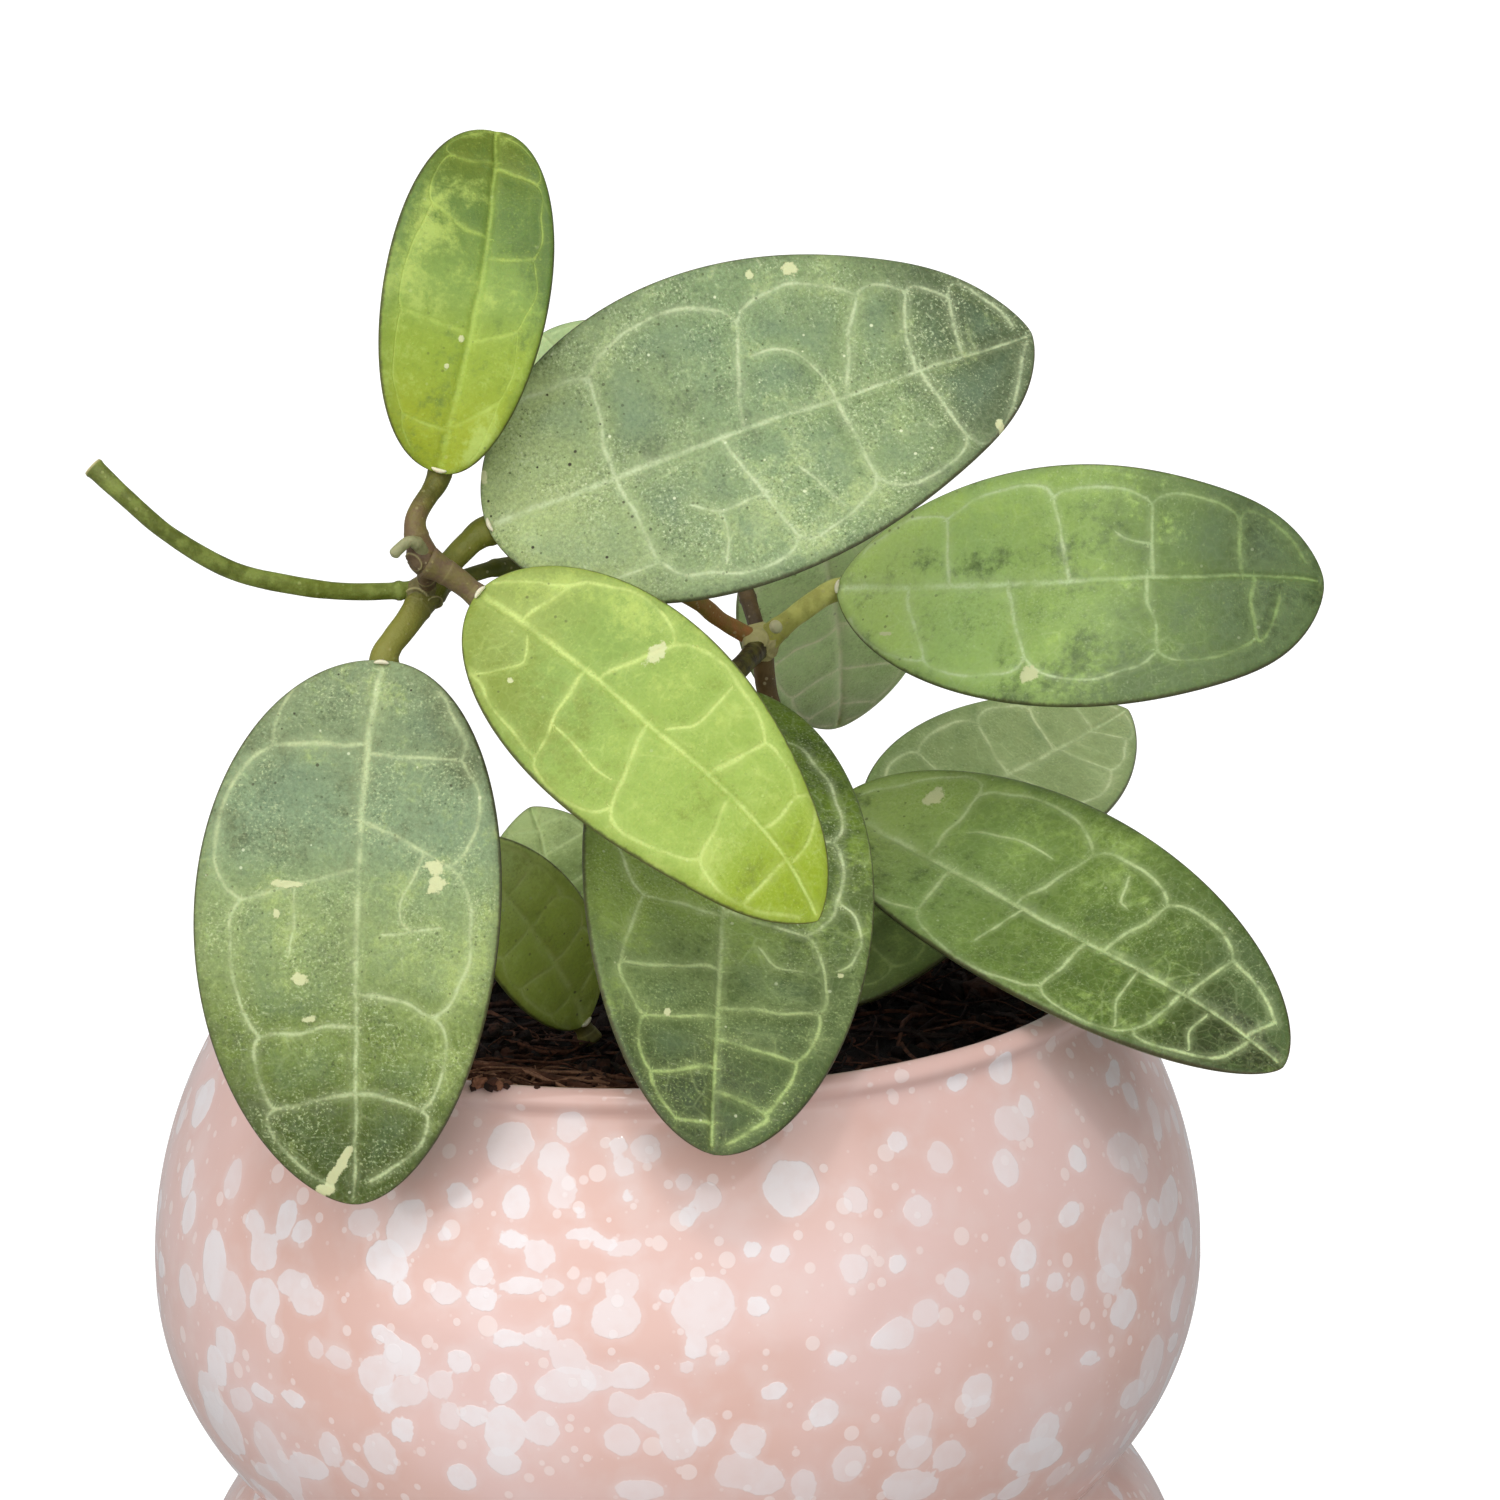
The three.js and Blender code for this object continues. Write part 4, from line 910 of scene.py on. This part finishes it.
# Each leaf's finish: its colour at stops along it; the brighter and darker tints that lie over it in soft patches,
# and its veins, with a second colour if they change towards the tip; how clear the veins are; how pitted it is and how
# much painted sheen it carries; the patches (share along, share out, reach along, reach out, amount); its pale scars
# (share along, share out, half length and half width in mm); and a scarred line. Some stops and patches are painted
# light, lifting a blade where a neighbouring leaf shades it, as noted at each leaf.
PLAIN = dict(patches="", scars="", line="", pits=0.3, bloom=0.0)
LEAF_LOOKS = dict(
    # The stops darken towards the hanging tip.
    hanging_left=dict(stops="0.1 #73845c 0.3 #788d68 0.5 #82945c 0.7 #6b7d3a 0.9 #415017",
         tints="#9cad65 #57613d #bdca97", clear=0.8, pits=0.8, bloom=0.35,
         patches="22 -75 15 30 -50, 30 80 15 30 -30, 50 -85 22 30 60, 72 75 12 30 -20, 55 50 8 20 40, 90 20 10 80 -30",
         scars="40 -51 120 100, 37 -49 70 120, 59 36 60 90, 42 44 35 220, 47 51 50 40, 66 30 40 90",
         line="89 0, 93 20, 97 54, 98 90"),
    # Painted light: the lighter base, with the patch at the base on the left, is lifted against the upright leaf's
    # shadow.
    broad_top=dict(stops="0.1 #91a167 0.3 #7a8d5e 0.5 #758b5e 0.7 #788c5b 0.9 #485737",
         tints="#9cad72 #536142 #bcc99d", clear=0.85, pits=1.0, bloom=0.45,
         patches="10 -75 10 35 100, 50 65 15 35 55, 90 70 12 35 -80, 30 0 20 40 -25, 10 20 12 50 40",
         scars="64 -87 90 80, 57 -88 50 50, 86 94 50 90, 3 -80 40 80"),
    lime_front=dict(stops="0.1 #88994a 0.3 #819b47 0.5 #8ea74a 0.7 #93ac4b 0.9 #8ea323",
         tints="#aabd5e #788830 #c6d67d", clear=0.78, pits=0.2,
         patches="25 -70 20 35 50, 20 70 20 35 -80, 72 65 12 30 40",
         scars="39 -50 80 140, 20 63 40 40"),
    upright=dict(stops="0.1 #8d9b1d 0.3 #859a2c 0.5 #799341 0.7 #5d7732 0.9 #5c6d20",
         tints="#a6b95b #4d6627 #aec35b", clear=0.5, pits=0.12,
         patches="10 70 12 40 60, 65 95 30 45 -100, 58 -75 20 35 50",
         scars="36 -10 40 40, 27 -20 30 30"),
    # Painted light: the base stops are lifted against the shadow that broad_top casts on this leaf.
    right_side=dict(stops="0.1 #aec96e 0.3 #a3c26e 0.5 #91ac5c 0.7 #62793c 0.9 #2e3d1a",
         tints="#afcc69 #55683d #d3e4b2 #8ba35f", clear=0.68, pits=0.2, bloom=0.15,
         patches="25 -65 20 30 50, 66 85 18 35 -80, 55 -30 10 30 -30, 95 0 16 120 -90, 30 -20 12 25 -30",
         scars="44 77 100 110, 14 68 80 30"),
    # Painted light: the middle stops, the patch half way along on the right and the pale veins there are lifted against
    # the shadow of lime_front.
    over_rim_front=dict(stops="0.1 #5f7814 0.3 #6c8528 0.5 #93ab50 0.7 #72844e 0.9 #3c4727",
         tints="#8ca24d #46572b #dbe8b4 #a9bd74", clear=0.85, pits=0.6, bloom=0.2,
         patches="48 75 20 45 130, 85 55 15 45 -50, 55 -75 35 40 -80, 90 -50 12 50 -70",
         scars="78 50 60 40, 66 -82 40 40"),
    over_rim_right=dict(stops="0.1 #93aa5a 0.3 #738c47 0.5 #627934 0.7 #4c6122 0.9 #27300d",
         tints="#91aa57 #455829 #b6c78d", clear=1.0,
         patches="10 70 10 30 -80, 32 -70 25 35 50, 90 -70 12 40 -160",
         scars="15 -57 100 160"),
    back_right=dict(stops="0 #82965c 1 #8b9c66", tints="#9eb078 #6f8552 #c3d09c", clear=0.9),
    # Painted light: the whole blade and its tints are lifted against the shade it hangs in, facing down under
    # broad_top.
    back_middle=dict(stops="0 #cfe9a2 0.5 #cce7a0 1 #b6d28c", tints="#daeeb2 #a0bc78 #f2f7cc", clear=1.0),
    back_top=dict(stops="0 #8ca66c 1 #9db27c", tints="#aabf87 #7f9a66 #c2d29a", clear=0.5),
    low_back=dict(stops="0 #566828 0.5 #6f8440 1 #a3b676", tints="#aabd7c #4f6126 #b9cb8c", clear=0.7),
    # Painted light: the blade and its tints are lifted against the shade it sits in, low between the front leaves.
    low_left=dict(stops="0 #a2b648 0.5 #b8d05c 1 #d2e694", tints="#cce07c #8a9c3c #d4e48c", clear=0.7),
    low_right=dict(stops="0 #5a6c2c 0.6 #657a3c 1 #6b8044", tints="#8ea454 #4c5e28 #a0b56a", clear=0.6))

leaf_skin, given = new_group(
    "leaf skin", dict(Blade=(0.2, 0.3, 0.1, 1.0), Bright=(0.3, 0.4, 0.2, 1.0), Dark=(0.1, 0.2, 0.1, 1.0),
                      Vein=(0.5, 0.6, 0.3, 1.0), Clear=0.7, Pits=0.5, Sheen=0.3), **SKIN_GIVES)
where = carried("leaf_mm", "Vector")
lines, marks, sides = (put("SeparateXYZ", {0: carried(label, "Vector")})
                       for label in ("vein_rib_edge", "tint_and_light_scar_under", "vein_rib_side"))
edge, torn = lines[2], marks[1]
mottled = cloud(where, 5.5, 5.0, 0.62) - 0.5
grained = cloud(where, 0.9, 4.0, 0.7) - 0.5
gritty = cloud(where, 0.3, 2.0, 0.6) - 0.5
# Patches of brighter and darker colour; some are painted light, lifting a blade where a neighbouring leaf shades it.
tint_and_light = marks[0] + mottled * 2.8 + grained * 1.5
skin = blend(fade(tint_and_light, 0.0, 0.9, 0.0, 0.85), given["Blade"], given["Bright"])
skin = blend(fade(tint_and_light, 0.0, -0.9, 0.0, 0.85), skin, given["Dark"])
# Age: worn places are rough with light and dark grit, and weathered unevenly.
worn = fade(cloud(where, 7.0, 4.0, 0.65), 0.4, 0.62, 0.15, 1.0)
spots = (given["Pits"] * 0.75 + 0.08) * worn
skin = blend(fade(gritty, 0.03, 0.24) * spots, skin, given["Vein"])
skin = blend(fade(gritty, -0.03, -0.26) * spots, skin, "#3c4826")
weathered = (cloud(where, 0.42, 3.0, 0.8) - 0.5) * given["Pits"]
skin = blend(1.0, skin, weathered * 1.4 + 1.0, "MULTIPLY")
# Finest veins: two nets of cell borders, drawn out of shape by a cloud.
nets = []
for spacing in (3.4, 1.5):
    strayed = put("TexNoise", dict(Vector=where, Scale=0.5 / spacing, Detail=2.0))[1]
    strayed = move("ADD", where, Other=move("SCALE", strayed, Scale=spacing))
    nets.append(put("TexVoronoi", dict(Vector=strayed, Scale=1 / spacing), feature="DISTANCE_TO_EDGE"))
net = calc("MAXIMUM", fade(nets[0], 0.07, 0.0) * fade(mottled, -0.1, 0.2, 0.0, 0.26), fade(nets[1], 0.12, 0.0) * 0.08)
skin = blend(net * given["Clear"], skin, given["Vein"])
# Drawn veins: the distance to the nearest, with a painted blue-grey sheen, partly the blade's own grey cast, far from
# them and a pale halo round them.
near = calc("MINIMUM", *(calc("MAXIMUM", calc("ABSOLUTE", sides[i]), lines[i] - 1.5) for i in (0, 1)))
near = near + grained * 1.6
patchy = cloud(where, 3.3, 3.0, 0.6)
# Painted sheen: a blue-grey cast in patches away from the veins and the margin, partly the blade's own grey.
bloom = fade(near, 3.0, 16.0) * fade(cloud(where, 9.0, 4.0), 0.3, 0.75) * fade(edge, 2.0, 6.0) * given["Sheen"]
skin = blend(bloom, skin, "#5f7862")
halo = fade(near, 6.0, 0.4, 0.0, 0.27) * given["Clear"] * fade(patchy, 0.3, 0.65, 0.4, 1.0)
skin = blend(halo, skin, given["Vein"])
drawn = fade(near, 1.8, 0.1, 0.0, 0.95) * given["Clear"] * fade(patchy, 0.35, 0.62, 0.3, 1.0)
skin = blend(drawn * fade(gritty, -0.22, 0.1, 0.55, 1.0), skin, given["Vein"])
# Dust, scratches, pale dots, pits, and dark pepper near the stalk.
dust = specks(where, 0.7, 0.5, 0.22, 0.6)
skin = blend(dust * (given["Pits"] * 0.16 + 0.14), skin, given["Vein"])
scratch = cloud(move("MULTIPLY", where, Other=(0.45, 1.6, 1.0)), 0.8, 4.0, 0.7)
skin = blend(fade(scratch, 0.58, 0.7) * worn * given["Pits"] * 0.55, skin, "#bcc79c")
skin = blend(specks(where, 1.9, 0.3, 0.1, 0.5) * (given["Pits"] * 0.8), skin, "#d3dab4")
pits = specks(where, 0.95, 0.4, 0.15, 0.5) * given["Pits"]
skin = blend(pits * 0.55, skin, "#3f4426")
from_stalk = put("SeparateXYZ", {0: where})[1]
pepper = specks(where, 1.4, 0.5, 0.13, 0.5) * fade(from_stalk, 30.0, 6.0, 0.15, 1.0) * (given["Pits"] + 0.4)
skin = blend(pepper * 0.8, skin, "#34321d")
# The darker brink and the thin dark edge, the scars, and the duller underside.
skin = blend(fade(edge + mottled, 2.0, 0.2, 0.0, 0.35), skin, given["Dark"])
skin = blend(fade(edge + grained * 0.4, 0.42, 0.1, 0.0, 0.75), skin, "#403a26")
scarred = fade(torn + grained * 1.3, 0.4, 0.62, 0.0, 0.85)
skin = blend(scarred, skin, "#cccf9f")
skin = blend(marks[2], skin, blend(0.45, skin, "#8f9f70"))
relief = grained * 0.12 + dust * 0.04 - pits * 0.08 + scarred * 0.05 - fade(near, 2.0, 0.2) * 0.05
give_out(Color=skin, Roughness=fade(grained, -0.2, 0.2, 0.4, 0.52) + scarred * 0.25, Height=relief)


def leaf_material(key, look):
    """The leaf skin with this leaf's colours, some of them painted light, its blade's and its veins' changing along it.
    """
    material = new_material("leaf " + key.replace("_", " "))
    bright, dark, *veins = look["tints"].split()
    skin = put("Group", node_tree=leaf_skin, sockets=dict(
        Blade=along_piece(look["stops"]), Bright=bright, Dark=dark, Clear=look["clear"], Pits=look["pits"],
        Sheen=look["bloom"], Vein=blend(fade(carried("share_along"), 0.4, 0.9), veins[0], veins[-1])))
    return finish_material(material, skin["Color"], skin["Roughness"], skin["Height"], 0.8, Subsurface_Weight=0.08,
                           Subsurface_Scale=0.0015, Specular_IOR_Level=0.25)


def line_nearness(across, along, lines):
    """Distance to the nearest line over that line's half width there, below zero on its left. For each short step
    from a to b the nearest place is a + t(b - a) with t = (p - a).(b - a) / |b - a|^2 kept in 0 to 1."""
    least = np.full(across.shape, 60.0)
    for line in lines:
        for (ax, ay, aw), (bx, by, bw) in zip(line, line[1:]):
            dx, dy = bx - ax, by - ay
            t = np.clip(((across - ax) * dx + (along - ay) * dy) / max(dx * dx + dy * dy, 1e-9), 0, 1)
            off = np.hypot(across - ax - t * dx, along - ay - t * dy) / (aw + t * (bw - aw))
            left = dx * (along - ay) - dy * (across - ax) > 0
            least = np.where(off < np.abs(least), np.where(left, -off, off), least)
    return least


def vein_lines(veins, to_mm):
    """Side veins, loops and extras as lines of (across, along, half width) in mm. A side vein leans a little
    towards the tip as it leaves the midrib; a loop runs from corner to corner and bows out by (4t(1 - t))^0.6."""
    rib = lambda s: np.interp(s, [0.15, 0.5, 0.85], veins["rib"])
    lines = []
    t = np.linspace(0, 1, 15)
    for side, table in veins["sides"].items():
        last = None
        for row in table:
            if len(row) == 2:
                last = row
                continue
            corner, bow = row[:2], row[-1]
            if len(row) == 4:
                root, corner = row[0], row[1:3]
                s = root + (corner[0] - root) * t ** 1.25
                w = rib(root) + (side * corner[1] - rib(root)) * t
                lines.append(to_mm(s, w, 0.24 - 0.06 * t))
            if last is not None and bow:
                middle = (last[1] + corner[1]) / 2
                s = last[0] + (corner[0] - last[0]) * t
                w = last[1] + (corner[1] - last[1]) * t + (bow - middle) * (4 * t * (1 - t)) ** 0.6
                lines.append(to_mm(s, side * w, veins["loop"] + 0 * t))
            last = corner
    for extra in veins["extras"]:
        points = smooth_path(extra, 6 * len(extra))
        lines.append(to_mm(points[:, 0], points[:, 1], 0.15 + 0 * points[:, 0]))
    t = np.linspace(0.0, 0.985, 50)
    return lines, [to_mm(t, rib(t) * np.minimum(1, t / 0.12), 0.42 - 0.24 * t)]


def crowded(start, count):
    """Shares from start to its opposite, closer together towards both: the sign times 1 - (1 - |x|)^1.35."""
    x = np.linspace(start, -start, count + 1)
    return np.sign(x) * (1 - (1 - np.abs(x)) ** 1.35)


def leaf_shape(blade, veins, look, fine, seed):
    """Points and fields of one blade about its midrib. A point out to the share w lies w times the half width
    along the edge direction, and upwards by the half width times tan 6 degrees times |w|^1.6, plus or minus the half
    thickness, which is a quarter circle over the last 1.1 mm. Above, the midrib is sunk and the blade swells between
    its veins; below, the midrib stands out."""
    stations, above, below = fine
    v = np.linspace(0, 1, stations + 2)[1:-1]
    s = 0.3 * v + 0.7 * (1 - np.cos(np.pi * v)) / 2
    w = np.concatenate([crowded(-1, above), crowded(1, below)[1:-1]])
    side = np.concatenate([np.ones(above + 1), -np.ones(below - 1)])

    length = np.linalg.norm(np.array(blade["tip"], float) - blade["base"])
    spine, edge, upward = blade_spine(blade, s)
    half = half_width(blade, s)
    outline = 2 * half / blade["width"]
    half = half[:, None]
    wide = w * half * (1 + blade["lop"] * w)
    long = (s * length)[:, None] + 0 * w

    def to_mm(s, w, thickness):
        """Share along and share out as mm along and across, with the line's half width."""
        return np.stack([w * half_width(blade, s) * (1 + blade["lop"] * w), s * length, thickness], -1)

    inward = (1 - np.abs(w)) * half
    wobble_x = wide + 0.7 * (bumpy(long, wide, 3.0, seed) - 0.5)
    wobble_y = long + 0.7 * (bumpy(long, wide, 3.0, seed + 1) - 0.5)
    lines, rib = vein_lines(veins, to_mm)
    vein_side = line_nearness(wobble_x, wobble_y, lines)
    rib_side = line_nearness(wide + 0.25 * (wobble_x - wide), long, rib)
    vein, rib = np.abs(vein_side), np.abs(rib_side)

    rounded = np.minimum(1.1, 0.5 * half)
    thick = THICK * np.minimum(1, 1.6 * outline)[:, None] * np.sqrt(1 - (1 - np.minimum(1, inward / rounded)) ** 2)
    flat = np.minimum(1, inward / 4)
    bulge = 0.5 * flat * (bumpy(long, wide, 11, seed + 2) - 0.5)
    swell = 0.16 * flat * (1 - np.exp(-(np.minimum(vein / 1.4, rib) / 6) ** 2)) + bulge
    sunk = 0.3 * np.exp(-(rib / 2) ** 2) * np.minimum(1, inward / 2)
    ridge = 0.35 * np.exp(-(rib / 2.8) ** 2) * np.minimum(1, inward / 2)
    fold = half * FOLD * np.abs(w) ** 1.6
    lift = np.where(side > 0, fold + (thick + (swell - sunk) * (thick > 0)), fold - thick - ridge + bulge)
    points = spine[:, None] + edge[:, None] * wide[..., None] + upward[:, None] * lift[..., None]

    tint_and_light = np.zeros(wide.shape)
    for at, out, reach, spread, amount in rows(look["patches"]):
        tint_and_light += amount * np.exp(-((s[:, None] - at) / reach) ** 2 - ((w - out) / spread) ** 2)
    scar = np.zeros(wide.shape)
    for at, out, tall, broad in rows(look["scars"]):
        x, y, _ = to_mm(np.array(at), np.array(out), 0.0)
        scar = np.maximum(scar, np.exp(-0.7 * (((wobble_x - x) / broad) ** 2 + ((wobble_y - y) / tall) ** 2)))
    if look["line"]:
        trail = smooth_path(rows(look["line"]), 24)
        trail = to_mm(trail[:, 0], trail[:, 1], 0.35 + 0.5 * np.linspace(0, 1, 24))
        scar = np.maximum(scar, np.exp(-0.7 * line_nearness(wobble_x, wobble_y, [trail]) ** 2))
    under = np.broadcast_to(side < 0, wide.shape).astype(float)
    scar = scar * (1 - under)

    def closed(values, first, last):
        """The values of the base point, of every ring, and of the tip point."""
        return np.concatenate([np.array([first], float), values.reshape(-1, *np.shape(first)), np.array([last], float)])

    patch = 40.0 * seed
    none, far = (0, 0, 0), (60, 0, 0)
    fields = dict(
        share_along=closed(np.broadcast_to(s[:, None], wide.shape), 0, 1),
        leaf_mm=closed(np.stack([wide, long, 0 * wide + patch], -1), (0, 0, patch), (0, length, patch)),
        vein_rib_side=closed(np.stack([vein_side, rib_side, 0 * wide], -1), far, far),
        vein_rib_edge=closed(np.stack([vein, rib, inward], -1), far, far),
        tint_and_light_scar_under=closed(np.stack([tint_and_light, scar, under], -1), none, none))
    return closed(points, blade["base"], blade["tip"]), tube_faces(stations, above + below), fields


YOUNG = {"lime_front", "upright", "back_top"}
for number, (key, blade) in enumerate(BLADES.items()):
    look = {**PLAIN, **LEAF_LOOKS[key]}
    draw = np.random.default_rng(300 + number)
    shift = draw.normal(0, 0.015)
    usual = {side: [tuple(float(np.clip(value + draw.normal(0, 0.012) + shift, 0.02, 0.97)) for value in row)
                    for row in USUAL] for side in (-1, 1)}
    veins = VEINS.get(key, dict(rib=(0.02, 0, 0.02), loop=LOOP_HALF, sides=usual, extras=[]))
    fine = (240, 120, 40) if key in VEINS else (150, 84, 30)
    points, faces, fields = leaf_shape(blade, veins, look, fine, 200 + 5 * number)
    add_piece(f"leaf_{key}", points, faces, leaf_material(key, look), "young_leaf" if key in YOUNG else "leaf",
              f"blade_{key}", **fields)

# The set
# A wide, plain, pale floor that the pot stands on, a dim even surround, and one very broad soft light high in
# front and a little to the left, with the camera looking slightly down on the plant.

FLOOR_GLOW = 0.75
SURROUND = 0.35
bpy.ops.mesh.primitive_plane_add(size=16, location=(0, 3, -0.0002))
floor = bpy.context.object
floor.name = "floor"
pale = new_material("floor pale")
place = millimetres()
tone = blend(cloud(place, 900.0, 1.0), "#b2b2b2", "#b5b5b5")
finish_material(pale, tone, fade(cloud(place, 400.0), 0, 1, 0.85, 0.9), Specular_IOR_Level=0.2)
shine = put("Emission", dict(Color=(1, 1, 1, 1), Strength=put("LightPath")["Is Camera Ray"] * FLOOR_GLOW))
both = put("AddShader", {0: Tone(tree.nodes["Principled BSDF"].outputs[0]), 1: shine})
tree.links.new(both.socket, tree.nodes["Material Output"].inputs["Surface"])
floor.data.materials.append(pale)
floor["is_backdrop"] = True

scene = bpy.context.scene
world = bpy.data.worlds.new("surround")
scene.world = world
world.use_nodes = True
tree = world.node_tree
around = tree.nodes["Background"].inputs
around["Color"].default_value = (1.0, 1.0, 1.0, 1.0)
tree.links.new(fade(put("LightPath")["Is Camera Ray"], 0.0, 1.0, SURROUND, 1.0).socket, around["Strength"])


def turned_towards(place, target):
    """A matrix at a place whose -Z axis points at the target and whose X axis is level."""
    away = np.array(place, float) - target
    away /= np.linalg.norm(away)
    side = np.cross((0, 0, 1), away)
    side /= np.linalg.norm(side)
    matrix = np.eye(4)
    matrix[:3] = np.stack([side, np.cross(away, side), away, place], -1)
    return Matrix(matrix.tolist())


# Energy, width in degrees and place of each light: the broad soft one, and a small dim one overhead that draws
# the bright line along the glazed lip.
LIGHTS = dict(key=(3.4, 112, (-0.24, -0.85, 0.6)), top=(0.5, 8, (-0.08, -0.45, 0.99)))
for name, (energy, width, place) in LIGHTS.items():
    light = bpy.data.lights.new(name, "SUN")
    light.energy = energy
    light.angle = np.radians(width)
    holder = bpy.data.objects.new(name, light)
    holder.matrix_world = turned_towards(place, (0, 0, 0.1))
    scene.collection.objects.link(holder)

# The camera looks at a place in mm, from a distance, pitched down and rolled a little.
PITCH, ROLL, DISTANCE, LOOKED_AT = np.radians(13.3), np.radians(1.6), 600, (10.65, 0, 140.8)
ahead = np.array([0, np.cos(PITCH), -np.sin(PITCH)])
above = np.array([0, np.sin(PITCH), np.cos(PITCH)])
right = np.array([1.0, 0, 0])
matrix = np.eye(4)
matrix[:3] = np.stack([right * np.cos(ROLL) - above * np.sin(ROLL), above * np.cos(ROLL) + right * np.sin(ROLL), -ahead,
                       (np.array(LOOKED_AT) - ahead * DISTANCE) * MM], -1)
lens = bpy.data.cameras.new("camera")
lens.lens = 117.94
lens.sensor_width = 36
lens.clip_end = 60
camera = bpy.data.objects.new("camera", lens)
camera.matrix_world = Matrix(matrix.tolist())
scene.collection.objects.link(camera)
scene.camera = camera
scene.view_settings.view_transform = "Standard"

sizes = dict(cad=[list(map(float, corner)) for corner in cad_box],
             visual=[list(map(float, corner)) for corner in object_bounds()])
